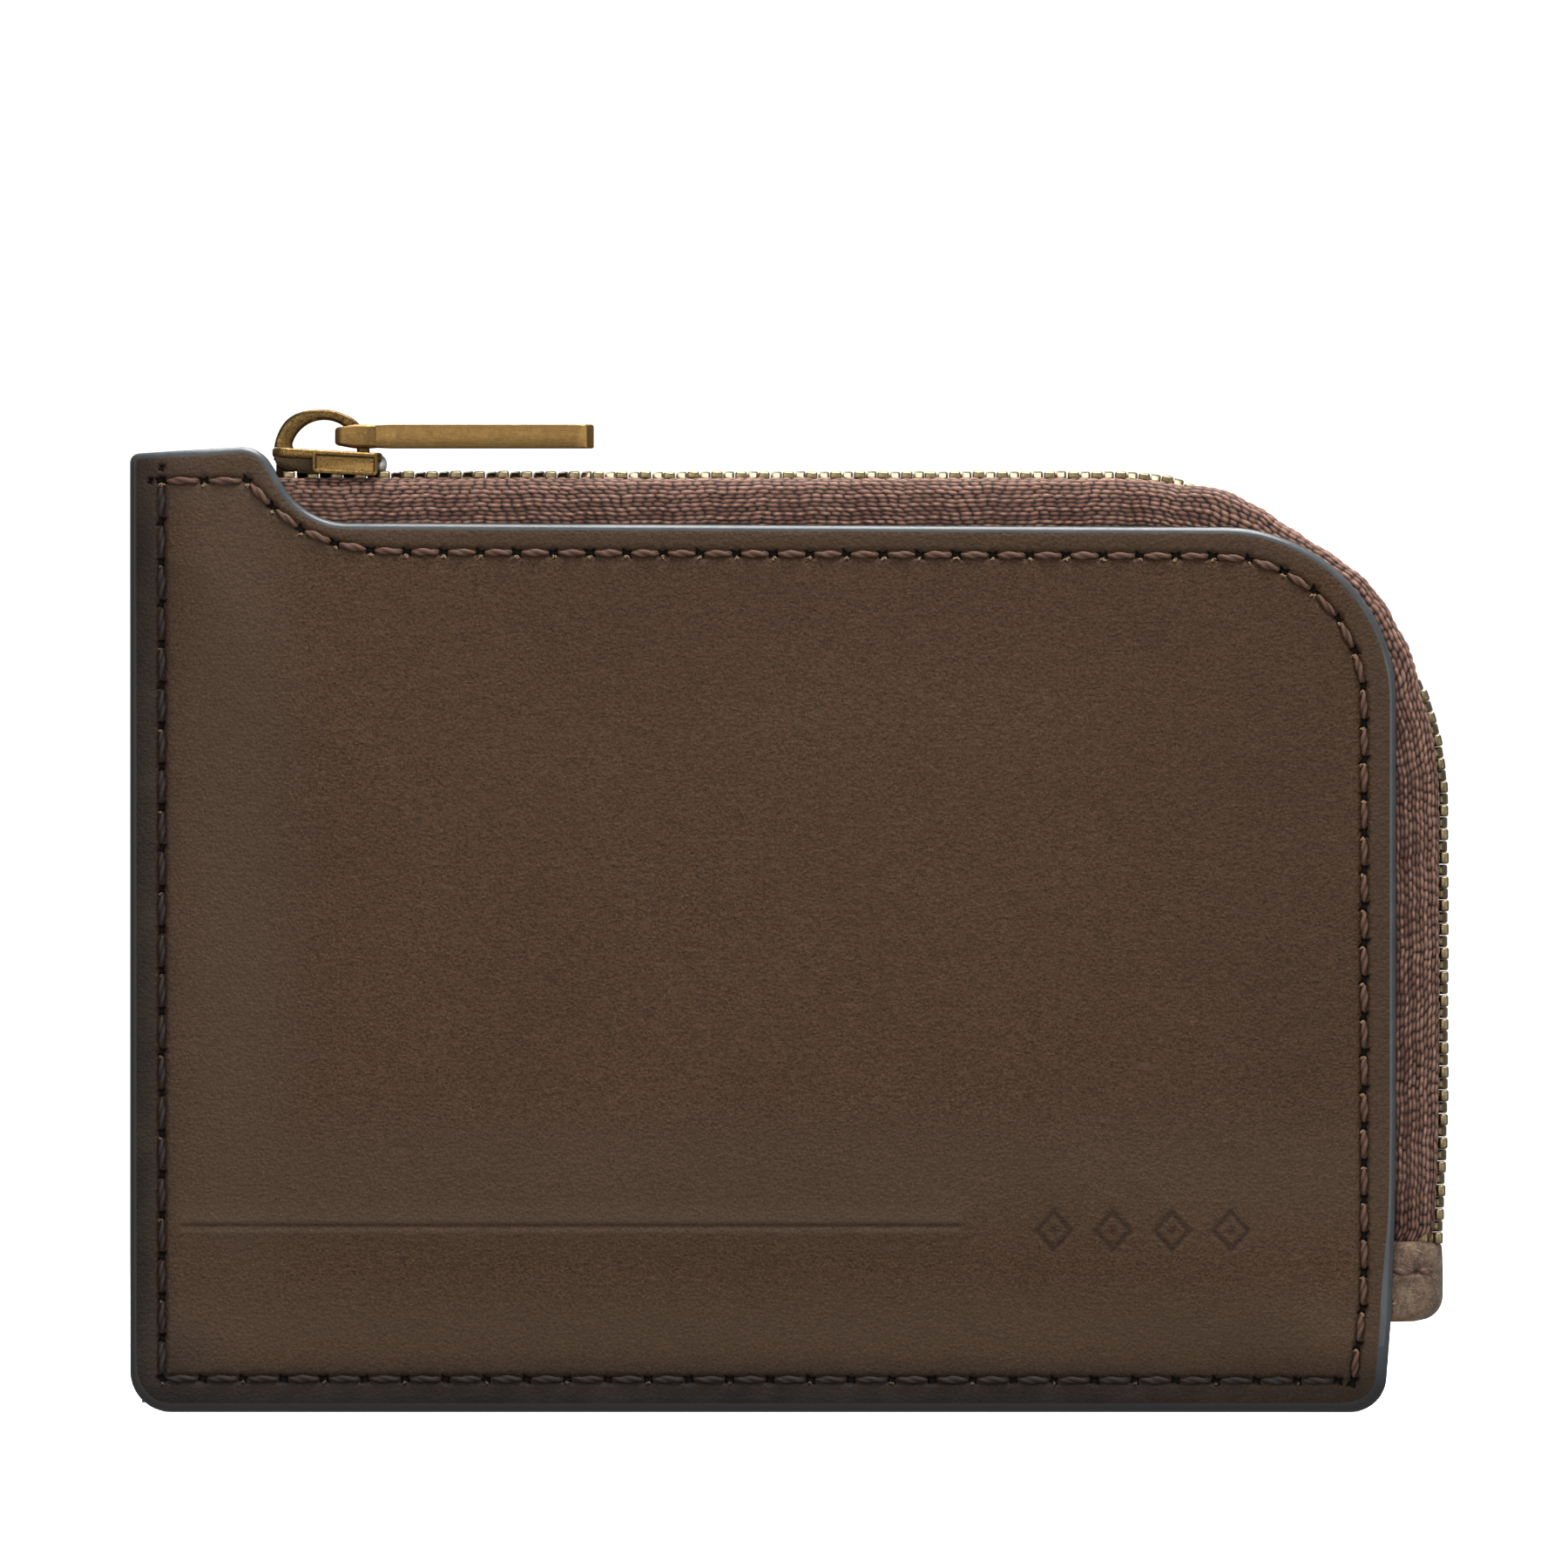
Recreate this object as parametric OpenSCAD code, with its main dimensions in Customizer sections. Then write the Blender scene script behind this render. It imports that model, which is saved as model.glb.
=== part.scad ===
// Flat leather zip pouch: two sewn leather panels, closed by a zip that runs
// along the top, round one corner and down the right side.
// It stands on its bottom edge, front face towards -Y, zip along the top (+Z)
// and right (+X). The origin is the centre of its box at the bottom edge.

/* [Leather body] */
// Distance from the left edge to the outer side of the zip teeth
pouch_w = 111.88; // [104:0.5:125]
// Height of the straight top edge of the leather
leather_top = 75.2; // [72:0.1:77]
// How far the leather stands back from the zip teeth on the right side
leather_back = 4.5; // [4:0.1:5.5]
// Radius of the leather corner between the two zip sides
leather_corner_r = 13.6; // [10:0.1:18]
// Radius of the bottom left corner
bottom_left_r = 3.5; // [2:0.1:6]
// Radius of the bottom right corner
bottom_right_r = 2.6; // [1.5:0.1:4]
// Height of the raised corner that covers the closed end of the zip
raised_top = 81.9; // [80.5:0.1:83]
// Length of the raised corner along its top
raised_w = 9.2; // [8:0.1:9.4]
// Thickness of each leather panel
leather_t = 1.2; // [0.9:0.1:1.3]

/* [Thickness] */
// Half of the thickness over the leather, away from the sewn edges
half_body = 4.7; // [4.6:0.1:5.5]
// Half of the thickness over the leather at the sewn edges
half_sewn = 2.6; // [2.4:0.1:3.2]
// Thickness of each lining
lining_t = 0.4; // [0.3:0.05:0.5]
// Thickness of the leaf that divides off the card slot
divider_t = 0.5; // [0.4:0.05:0.6]
// Distance over which the panels spread from a sewn edge
spread = 30; // [24:1:36]
// The same distance beside the two ends of the zip
spread_at_zip = 6.6; // [6:0.1:8]

/* [Zip] */
// Height of the tops of the teeth on the straight top run
crest_z = 79.85; // [79:0.05:80.5]
// Radius of the line of teeth at the corner
chain_r = 28.7; // [24:0.1:32]
// Distance between neighbouring teeth of one row
tooth_pitch = 2.015; // [1.9:0.005:2.2]
// Width of one tooth along the zip
tooth_w = 0.8; // [0.7:0.05:0.85]
// Height of a tooth
tooth_h = 2; // [1.8:0.1:2.2]
// Distance from the middle of the zip to the outer end of a tooth
tooth_reach = 2.3; // [2.1:0.05:2.4]
// How far a tooth passes the middle of the zip
tooth_cross = 0.7; // [0.5:0.05:0.8]
// Thickness of the woven tape
tape_t = 0.5; // [0.4:0.05:0.6]
// Width of tape below the tops of the teeth
tape_depth = 9; // [8:0.5:10]

/* [Slider and pull] */
// Middle of the slider when the zip is closed
slider_x = -39.2; // [-39.4:0.1:-38.6]
// Length of the slider
slider_l = 9.3; // [9:0.1:9.8]
// Width of the slider's upper plate at its mouth
slider_w = 6.9; // [6.5:0.05:6.9]
// Outer radius of the loop that holds the pull
loop_r = 3.7; // [3.6:0.05:3.8]
// Thickness of the loop
loop_t = 0.9; // [0.8:0.05:1]
// Width of the loop
loop_w = 1.6; // [1.2:0.1:1.8]
// Width of the pull
pull_w = 4.4; // [4:0.1:5]
// Thickness of the pull
pull_t = 2; // [1.6:0.1:2]
// Free end of the pull, from the middle of the loop
pull_reach = 22.9; // [15:0.1:30]

/* [Stitching] */
// Distance of the stitch line from the edge of the leather
stitch_inset = 2.75; // [2.4:0.05:3.2]
// Length of one stitch with its gap, beside the zip
zip_stitch = 3.1; // [2.8:0.05:3.6]
// Length of one stitch with its gap, on the sewn edges
sewn_stitch = 3.45; // [3:0.05:3.8]
// Radius of the thread
thread_r = 0.25; // [0.2:0.01:0.3]

/* [Hidden] */

x_left = -pouch_w / 2;
x_teeth = pouch_w / 2;
x_leather = x_teeth - leather_back;

// Middle of the arc that the tops of the teeth follow
arc_x = x_teeth - chain_r;
arc_z = crest_z - chain_r;

// Ends of the zip: the tape's left end, the first meshed tooth, and the lower end
tape_x0 = x_left + spread_at_zip + 0.2;
teeth_x0 = slider_x - 1.2;
teeth_z_end = 15;
tape_z_end = 8.8;

// End tab
tab_z = [7.7, 14.5];
tab_x_out = 55.4;
tab_x_in = 46;
tab_half = 3.45;
tab_t = 0.85;
// How far the zip's lower end leans in towards the tab
end_lean = 0.7;
lean_z = [12, 30];

// Welt between the linings
welt_w = 4.8;
lining_half_sewn = half_sewn - leather_t;
lining_half_body = half_body - leather_t - tape_t;
welt_half = lining_half_sewn - lining_t;

// Slider
plate_gap = 0.3;
plate_t = 1.25;
plate_z = crest_z + plate_gap;
plate_top = plate_z + plate_t;
loop_x = slider_x - 0.3;
pull_z = plate_top + 0.4;

// ---------- outline of the leather, counter-clockwise seen from the front ----------

// Points of an arc in the X-Z plane, with angles from +X towards +Z
function arc_points(cx, cz, r, a0, a1, n) =
  [for (i = [0:n]) let (a = a0 + (a1 - a0) * i / n) [cx + r * cos(a), cz + r * sin(a)]];

// Points between two ends, leaving out both ends
function between(a, b, n) = [for (i = [1:n - 1]) a + (b - a) * i / n];

right_low = [x_leather, 8.3];
taper = 1.15;
br_c = [x_leather - taper - bottom_right_r, bottom_right_r];
corner_c = [x_leather - leather_corner_r, leather_top - leather_corner_r];
raise_x = x_left + 0.4 + raised_w;
tl_r = 0.9;
// The raised corner comes down to the top edge in an S made of two arcs
s_r1 = 2.6;
s_r2 = 4.4;
s_lean = 20;
s_mid = [raise_x + s_r1 * cos(s_lean), raised_top - s_r1 + s_r1 * sin(s_lean)];
s_low_z = leather_top + s_r2 - s_r2 * sin(s_lean);
s_low = [s_mid[0] + (s_mid[1] - s_low_z) * tan(s_lean), s_low_z];
s_low_c = [s_low[0] + s_r2 * cos(s_lean), leather_top + s_r2];

function leather_outline() = concat(
  arc_points(x_left + bottom_left_r, bottom_left_r, bottom_left_r, 180, 270, 5),
  between([x_left + bottom_left_r, 0], [br_c[0], 0], 16),
  arc_points(br_c[0], br_c[1], bottom_right_r, 270, 352, 5),
  between(br_c + [bottom_right_r, 0], right_low, 3),
  [right_low],
  between(right_low, [x_leather, corner_c[1]], 9),
  arc_points(corner_c[0], corner_c[1], leather_corner_r, 0, 90, 12),
  between([corner_c[0], leather_top], [s_low_c[0], leather_top], 14),
  arc_points(s_low_c[0], s_low_c[1], s_r2, 270, 180 + s_lean, 5),
  arc_points(raise_x, raised_top - s_r1, s_r1, s_lean, 90, 5),
  between([raise_x, raised_top], [x_left + 0.4 + tl_r, raised_top], 2),
  arc_points(x_left + 0.4 + tl_r, raised_top - tl_r, tl_r, 90, 180, 3),
  between([x_left + 0.4, raised_top - tl_r], [x_left, bottom_left_r], 12)
);

// Outline of a leaf inside the leather, with one round corner and with its lower
// right corner cut out up to the point notch
function leaf_outline(x0, x1, z0, z1, r, notch) = concat(
  [[x0, z0]], between([x0, z0], [notch[0], z0], 12),
  [[notch[0], z0]], between([notch[0], z0], notch, 3),
  [notch], [[x1, notch[1]]], between([x1, notch[1]], [x1, z1 - r], 8),
  arc_points(x1 - r, z1 - r, r, 0, 90, 8),
  between([x1 - r, z1], [x0, z1], 12),
  [[x0, z1]], between([x0, z1], [x0, z0], 8)
);

// ---------- how the two faces spread apart from the sewn edges ----------

function clamp01(u) = max(0, min(1, u));
function ease(u) = 1 - pow(1 - clamp01(u), 2);
function mix(a, b, u) = a + (b - a) * clamp01(u);
function spread_left(z) = mix(spread, spread_at_zip, (z - 45) / 27);
function spread_bottom(x) = mix(spread, spread_at_zip, (x - 18) / 28);
// 0 on the sewn left and bottom edges, 1 where the pouch has its full thickness
function rise(x, z) = ease((x - x_left) / spread_left(z)) * ease(z / spread_bottom(x));

// Rings of a leaf, drawn in from its outline towards one inner point
hub = [-20, 30];
rings = [1, 0.95, 0.87, 0.75, 0.58, 0.35];

// A bowed leaf of leather or lining: its outer side lies half0 from the middle
// plane at the sewn edges and half1 in the middle, and it is t thick
module bowed_leaf(outline, half0, half1, t) {
  n = len(outline);
  m = len(rings);
  flat_points = concat([for (s = rings, p = outline) hub + s * (p - hub)], [hub]);
  layer = len(flat_points);
  outer = [for (p = flat_points) [p[0], -mix(half0, half1, rise(p[0], p[1])), p[1]]];
  inner = [for (p = outer) p + [0, t, 0]];
  front = [for (k = [0:m - 2], i = [0:n - 1]) let (j = (i + 1) % n)
    each [[k * n + i, (k + 1) * n + i, (k + 1) * n + j], [k * n + i, (k + 1) * n + j, k * n + j]]];
  front_hub = [for (i = [0:n - 1]) [(m - 1) * n + i, layer - 1, (m - 1) * n + (i + 1) % n]];
  side = [for (i = [0:n - 1]) let (j = (i + 1) % n)
    each [[i, j, layer + j], [i, layer + j, layer + i]]];
  face = concat(front, front_hub);
  back = [for (f = face) [f[0] + layer, f[2] + layer, f[1] + layer]];
  polyhedron(points = concat(outer, inner), faces = concat(face, back, side));
}

module to_back() {
  mirror([0, 1, 0])
    children();
}

module leather_leaf() {
  bowed_leaf(leather_outline(), half_sewn, half_body, leather_t);
}

// The lining stops short of the zip, whose tape turns in round the corner, and of
// the end tab
module lining_leaf() {
  inset = 1;
  inset_zip = 1.2;
  bottom = 0.8;
  notch = [tab_x_in - 0.2, tab_z[1] + 4];
  outline = leaf_outline(
    x_left + inset, x_leather - inset_zip, bottom, leather_top - inset_zip,
    chain_r - tape_turn, notch
  );
  bowed_leaf(outline, lining_half_sewn, lining_half_body, lining_t);
}

module front_panel() {
  color("#4e3c30")
    leather_leaf();
}

module back_panel() {
  color("#4e3c30")
    to_back()
      leather_leaf();
}

module front_lining() {
  color("#6b5a4a")
    lining_leaf();
}

module back_lining() {
  color("#6b5a4a")
    to_back()
      lining_leaf();
}

// The leaf that makes a card slot against the back lining
module card_divider() {
  slot_gap = 0.15;
  welt_gap = 0.4;
  edge = welt_w + welt_gap;
  right = tab_x_in - 1;
  top = 56;
  corner_r = 3;
  outline = leaf_outline(x_left + edge, right, edge, top, corner_r, [right - 0.3, edge + 3]);
  color("#5a4638")
    to_back()
      bowed_leaf(outline, welt_half - slot_gap, lining_half_body - lining_t - slot_gap, divider_t);
}

// The strip that fills the seam along the left and bottom edges
module edge_welt() {
  welt_right = x_leather - 1.5;
  color("#3a3431")
    translate([0, welt_half, 0])
      rotate([90, 0, 0])
        linear_extrude(height = 2 * welt_half)
          intersection() {
            polygon(leather_outline());
            union() {
              translate([x_left - 1, -1])
                square([welt_w + 1, raised_top + 2]);
              translate([x_left - 1, -1])
                square([welt_right - x_left + 1, welt_w + 1]);
            }
          }
}

// ---------- the zip ----------

top_run = arc_x - tape_x0;
arc_run = chain_r * PI / 2;

// Point on the tops of the teeth, and the turn of the zip there, at distance s
// from the tape's left end
function zip_angle(s) = 90 * clamp01((s - top_run) / arc_run);
function zip_point(s) =
  s < top_run ? [tape_x0 + s, crest_z]
  : s < top_run + arc_run
    ? [arc_x + chain_r * sin(zip_angle(s)), arc_z + chain_r * cos(zip_angle(s))]
    : let (z = arc_z - (s - top_run - arc_run)) [x_teeth - end_lean_at(z), z];
function end_lean_at(z) = end_lean * pow(clamp01((lean_z[1] - z) / (lean_z[1] - lean_z[0])), 2);
function run_to_z(z) = top_run + arc_run + arc_z - z;

// Puts its children at distance s: X along the zip, Z outwards
module on_zip(s) {
  p = zip_point(s);
  translate([p[0], 0, p[1]])
    rotate([0, zip_angle(s), 0])
      children();
}

// Extrudes a shape drawn in Y and Z along X, centred
module along_x(l) {
  rotate([90, 0, 90])
    linear_extrude(height = l, center = true)
      children();
}

tape_mid = tooth_h / 2;
tape_grip = 1.65;
// Depth below the tops of the teeth at which the tape starts to turn in to them
tape_turn = 5.7;
tape_y = half_body - leather_t;

// Cross-section of the front tape, in Y and the height above the teeth's tops
tape_section = [
  [-tape_y, -tape_depth], [-tape_y, -4.4], [-tape_y + 0.2, -1.9], [-2.85, -1],
  [-tooth_reach, tape_t / 2 - tape_mid], [-tape_grip, tape_t / 2 - tape_mid],
  [-tape_grip, -tape_t / 2 - tape_mid], [-tooth_reach - 0.05, -tape_t / 2 - tape_mid],
  [-2.55, -1.5], [-tape_y + 0.2 + tape_t, -2.2], [-tape_y + tape_t, -4.4],
  [-tape_y + tape_t, -tape_depth]
];

// The tape draws in towards the middle where the end tab holds it
tape_tuck = 0.5;
function tape_draw(z) = mix(0.72, 1, (z - tab_z[1]) / 3);
function tape_tuck_at(z) = mix(tape_tuck, 0, (z - tab_z[1]) / 3);

tape_stations = concat(
  [0, 0.25 * top_run, 0.5 * top_run, 0.75 * top_run],
  [for (i = [0:14]) top_run + arc_run * i / 14],
  [for (z = [40, 30, 20, tab_z[1] + 3, tab_z[1] + 1.5, tab_z[1], tape_z_end]) run_to_z(z)]
);

module tape() {
  k = len(tape_section);
  m = len(tape_stations);
  points = [for (s = tape_stations, q = tape_section)
    let (
      p = zip_point(s),
      a = zip_angle(s),
      low = s > top_run + arc_run,
      draw = low ? tape_draw(p[1]) : 1,
      out = q[1] - (low ? tape_tuck_at(p[1]) : 0)
    )
      [p[0] + out * sin(a), q[0] * draw, p[1] + out * cos(a)]];
  sides = [for (i = [0:m - 2], j = [0:k - 1]) let (j2 = (j + 1) % k)
    each [[i * k + j, (i + 1) * k + j, (i + 1) * k + j2], [i * k + j, (i + 1) * k + j2, i * k + j2]]];
  start = [for (j = [0:k - 1]) j];
  end = [for (j = [k - 1:-1:0]) (m - 1) * k + j];
  polyhedron(points = points, faces = concat(sides, [start, end]));
}

module tape_front() {
  color("#6e4a41")
    tape();
}

module tape_back() {
  color("#6e4a41")
    to_back()
      tape();
}

// One tooth of the front row: two legs that grip the tape, and a head that meshes
module tooth() {
  slot = tape_t / 2;
  along_x(tooth_w)
    polygon([
      [-tooth_reach, 0], [-1, 0], [tooth_cross - 0.35, -0.15], [tooth_cross, -0.55],
      [tooth_cross, -tooth_h + 0.55], [tooth_cross - 0.35, -tooth_h + 0.15],
      [-1, -tooth_h], [-tooth_reach, -tooth_h], [-tooth_reach, -tape_mid - slot],
      [-tape_grip, -tape_mid - slot], [-tape_grip, -tape_mid + slot], [-tooth_reach, -tape_mid + slot]
    ]);
}

// A row of teeth; the two teeth in the slider's mouth stand apart from the middle
module tooth_row(shift) {
  s0 = teeth_x0 - tape_x0 + shift;
  count = floor((run_to_z(teeth_z_end) - s0) / tooth_pitch);
  mouth_spread = 1.35;
  for (i = [0:count])
    on_zip(s0 + i * tooth_pitch)
      tooth();
  translate([0, -mouth_spread, 0])
    on_zip(s0 - tooth_pitch)
      tooth();
}

module teeth_front() {
  color("#8a7a4e")
    tooth_row(0);
}

module teeth_back() {
  color("#8a7a4e")
    to_back()
      tooth_row(tooth_pitch / 2);
}

// A metal stop bent round the edge of the tape, past the last tooth
module top_stop() {
  stop_l = 1.6;
  y_back = -3;
  y_nose = -0.9;
  top = -0.15;
  bottom = -1.85;
  chamfer = 0.3;
  along_x(stop_l)
    polygon([
      [y_back, top], [y_nose - chamfer, top], [y_nose, top - chamfer],
      [y_nose, bottom + chamfer], [y_nose - chamfer, bottom], [y_back, bottom]
    ]);
}

top_stop_x = slider_x - slider_l / 2 - 1.3;

module top_stop_front() {
  color("#8a7a4e")
    on_zip(top_stop_x - tape_x0)
      top_stop();
}

module top_stop_back() {
  color("#8a7a4e")
    to_back()
      on_zip(top_stop_x - tape_x0)
        top_stop();
}

// The clamp that joins both tapes at the lower end, inside the end tab
module bottom_stop() {
  stop_z = 12;
  stop_l = 3;
  half = 1.2;
  depth = 1.4;
  color("#8a7a4e")
    on_zip(run_to_z(stop_z))
      translate([0, 0, -tape_mid - depth])
        along_x(stop_l)
          translate([-half, 0])
            square([2 * half, depth]);
}

// A bar's section from x0 to x1, with both corners at x1 rounded
module nosed_section(x0, x1, half, r) {
  translate([x0, -half])
    square([x1 - r - x0, 2 * half]);
  translate([x1 - r - 0.1, r - half])
    square([r + 0.1, 2 * (half - r)]);
  for (side = [-1, 1])
    translate([x1 - r, side * (half - r)])
      circle(r = r, $fn = 48);
}

// A strip of leather folded round the zip's lower end
module end_tab() {
  fold_r = 2.3;
  color("#7a5c46")
    translate([0, 0, tab_z[0]])
      linear_extrude(height = tab_z[1] - tab_z[0])
        difference() {
          nosed_section(tab_x_in, tab_x_out, tab_half, fold_r);
          nosed_section(tab_x_in - 1, tab_x_out - tab_t, tab_half - tab_t, fold_r - tab_t);
        }
}

// ---------- threads ----------

// A straight stitch between two points of the X-Z plane, on the face of the leather
module stitch(a, b) {
  d = b - a;
  l = norm(d);
  y_a = mix(half_sewn, half_body, rise(a[0], a[1]));
  y_b = mix(half_sewn, half_body, rise(b[0], b[1]));
  sink = 0.1;
  translate([a[0], -y_a + sink, a[1]])
    rotate([0, -atan2(d[1], d[0]), 0])
      rotate([0, 0, -atan2(y_b - y_a, l)])
        rotate([0, 90, 0])
          cylinder(r = thread_r, h = l, $fn = 24);
}

// The part of each stitch's length that its thread leaves bare
gap_part = 0.3;

// Stitches of one length along a straight line
module stitch_line(a, b, pitch) {
  n = round(norm(b - a) / pitch);
  step = (b - a) / n;
  for (i = [0:n - 1])
    stitch(a + step * (i + gap_part / 2), a + step * (i + 1 - gap_part / 2));
}

// Stitches round an arc, with angles from +X towards +Z
module stitch_arc(c, r, a0, a1, pitch) {
  n = round(r * abs(a1 - a0) * PI / 180 / pitch);
  step = (a1 - a0) / n;
  for (i = [0:n - 1]) {
    a = a0 + step * (i + gap_part / 2);
    b = a0 + step * (i + 1 - gap_part / 2);
    stitch(c + r * [cos(a), sin(a)], c + r * [cos(b), sin(b)]);
  }
}

seam_left = x_left + stitch_inset;
seam_right = x_leather - stitch_inset;
seam_top = leather_top - stitch_inset;
seam_raised_z = raised_top - 2.9;
seam_r = leather_corner_r - stitch_inset;
seam_right_low = [seam_right - 0.4, 5.5];

module zip_seam() {
  bend = [raise_x + 0.6, seam_raised_z];
  mid = [raise_x + 4.4, seam_top + 2.4];
  foot = [raise_x + 9.8, seam_top];
  stitch_line([seam_left, seam_raised_z], bend, zip_stitch);
  stitch_line(bend, mid, zip_stitch);
  stitch_line(mid, foot, zip_stitch);
  stitch_line(foot, [corner_c[0], seam_top], zip_stitch);
  stitch_arc(corner_c, seam_r, 90, 0, zip_stitch);
  stitch_line([seam_right, corner_c[1]], [seam_right, right_low[1]], zip_stitch);
  stitch_line([seam_right, right_low[1]], seam_right_low, zip_stitch);
}

module sewn_seam() {
  corner = [seam_left, stitch_inset];
  stitch_line([seam_left, seam_raised_z], corner, sewn_stitch);
  stitch_line(corner, [seam_right - 1.5, stitch_inset], sewn_stitch);
}

module zip_thread_front() {
  color("#7d4c3c")
    zip_seam();
}

module zip_thread_back() {
  color("#7d4c3c")
    to_back()
      zip_seam();
}

module sewn_thread_front() {
  color("#35302e")
    sewn_seam();
}

module sewn_thread_back() {
  color("#35302e")
    to_back()
      sewn_seam();
}

// A stitch on each side holds the end tab together through the tapes
module end_tab_thread() {
  tab_stitch_z = 12;
  tab_stitch_l = 1.5;
  sink = 0.05;
  module side()
    translate([x_leather + 0.2, -tab_half + sink, tab_stitch_z])
      rotate([0, 90, 0])
        cylinder(r = thread_r, h = tab_stitch_l, $fn = 24);
  color("#7d4c3c")
    union() {
      side();
      to_back()
        side();
    }
}

// ---------- slider ----------

// Outline of a slider plate, from the mouth at the left to the narrow right end
function plate_outline(l, w_mouth, w_tail, r) = concat(
  arc_points(-l / 2 + r, -w_mouth / 2 + r, r, 180, 270, 6),
  arc_points(l / 2 - r, -w_tail / 2 + r, r, 270, 360, 6),
  arc_points(l / 2 - r, w_tail / 2 - r, r, 0, 90, 6),
  arc_points(-l / 2 + r, w_mouth / 2 - r, r, 90, 180, 6)
);

// Two plates joined by a post at the mouth; side walls on the upper plate keep the
// teeth meshed
module slider_body() {
  tail_w = 6;
  corner_r = 1.1;
  lower_w = 4.5;
  lower_l = 8;
  lower_t = 1;
  lower_gap = 0.3;
  lower_z = crest_z - tooth_h - lower_gap - lower_t;
  wall_x0 = teeth_x0;
  wall_l = slider_x + slider_l / 2 - 0.4 - wall_x0;
  wall_t = 0.75;
  wall_y = tooth_reach + 0.3;
  wall_drop = 0.75;
  post_w = 1;
  post_l = 1.5;
  post_x = slider_x - slider_l / 2 + 1;
  nub_r = 0.6;
  color("#8a7d55")
    union() {
      translate([slider_x, 0, plate_z])
        linear_extrude(height = plate_t)
          polygon(plate_outline(slider_l, slider_w, tail_w, corner_r));
      translate([slider_x - (slider_l - lower_l) / 2 + 0.2, 0, lower_z])
        linear_extrude(height = lower_t)
          polygon(plate_outline(lower_l, lower_w, lower_w - 0.6, corner_r));
      translate([post_x, 0, lower_z + lower_t / 2])
        linear_extrude(height = plate_z + plate_t / 2 - lower_z - lower_t / 2)
          polygon([[-post_l / 2, 0], [0, -post_w / 2], [post_l / 2, 0], [0, post_w / 2]]);
      for (side = [-1, 1])
        translate([wall_x0, side * (wall_y + wall_t / 2) - wall_t / 2, plate_z - wall_drop])
          cube([wall_l, wall_t, wall_drop + plate_t / 2]);
      translate([slider_x + slider_l / 2, 0, plate_z + nub_r])
        rotate([90, 0, 0])
          cylinder(r = nub_r, h = 4, center = true, $fn = 48);
    }
}

// The half ring that the pull hangs on, standing on the upper plate
module slider_loop() {
  color("#8a7d55")
    translate([loop_x, 0, plate_top])
      rotate([90, 0, 0])
        translate([0, 0, -loop_w / 2])
          linear_extrude(height = loop_w)
            difference() {
              circle(r = loop_r, $fn = 96);
              circle(r = loop_r - loop_t, $fn = 96);
              translate([-loop_r - 1, -loop_r - 1])
                square([2 * loop_r + 2, loop_r + 1]);
            }
}

// A flat bar with an eye at one end, threaded on the loop
module pull_bar() {
  eye_wall = 0.75;
  hole_x = [1.25, 3.9];
  hole_w = loop_w + 0.6;
  bar_x0 = hole_x[0] - eye_wall;
  nose_r = 0.8;
  color("#8f8257")
    translate([loop_x, 0, pull_z])
      difference() {
        union() {
          translate([bar_x0 + nose_r, -pull_w / 2, 0])
            cube([pull_reach - bar_x0 - nose_r, pull_w, pull_t]);
          translate([bar_x0 + nose_r, 0, nose_r])
            rotate([90, 0, 0])
              cylinder(r = nose_r, h = pull_w, center = true, $fn = 48);
          translate([bar_x0, -pull_w / 2, nose_r])
            cube([nose_r, pull_w, pull_t - 2 * nose_r]);
          translate([bar_x0 + nose_r, 0, pull_t - nose_r])
            rotate([90, 0, 0])
              cylinder(r = nose_r, h = pull_w, center = true, $fn = 48);
        }
        translate([hole_x[0], -hole_w / 2, -1])
          cube([hole_x[1] - hole_x[0], hole_w, pull_t + 2]);
      }
}

front_panel();
back_panel();
front_lining();
back_lining();
card_divider();
edge_welt();
tape_front();
tape_back();
teeth_front();
teeth_back();
top_stop_front();
top_stop_back();
bottom_stop();
end_tab();
end_tab_thread();
zip_thread_front();
zip_thread_back();
sewn_thread_front();
sewn_thread_back();
slider_body();
slider_loop();
pull_bar();
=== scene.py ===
import math

import bmesh
import bpy
import numpy as np
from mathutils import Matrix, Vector
from mathutils.geometry import delaunay_2d_cdt


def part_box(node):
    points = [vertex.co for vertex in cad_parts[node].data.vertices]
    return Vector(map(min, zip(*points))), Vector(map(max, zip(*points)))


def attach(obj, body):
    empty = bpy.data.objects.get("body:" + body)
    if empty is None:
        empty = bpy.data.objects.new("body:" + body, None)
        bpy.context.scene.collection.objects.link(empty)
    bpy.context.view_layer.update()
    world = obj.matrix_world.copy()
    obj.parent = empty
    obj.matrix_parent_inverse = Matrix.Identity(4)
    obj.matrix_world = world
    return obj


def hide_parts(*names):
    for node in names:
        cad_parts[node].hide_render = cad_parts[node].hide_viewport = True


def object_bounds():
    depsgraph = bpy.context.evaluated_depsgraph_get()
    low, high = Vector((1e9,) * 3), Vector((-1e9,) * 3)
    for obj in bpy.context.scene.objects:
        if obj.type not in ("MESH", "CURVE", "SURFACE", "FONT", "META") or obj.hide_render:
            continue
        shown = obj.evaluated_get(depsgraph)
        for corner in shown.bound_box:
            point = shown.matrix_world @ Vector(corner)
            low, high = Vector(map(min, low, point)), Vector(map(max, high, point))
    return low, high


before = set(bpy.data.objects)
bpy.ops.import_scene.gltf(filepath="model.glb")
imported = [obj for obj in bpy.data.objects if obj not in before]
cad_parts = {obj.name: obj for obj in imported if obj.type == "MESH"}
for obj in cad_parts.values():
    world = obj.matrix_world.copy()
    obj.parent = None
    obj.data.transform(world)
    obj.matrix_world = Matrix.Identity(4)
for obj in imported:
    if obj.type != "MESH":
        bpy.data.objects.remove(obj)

# All lengths below are in millimetres; meshes are scaled to metres when they are made.
MM = 0.001
cad_low, cad_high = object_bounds()


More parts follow.
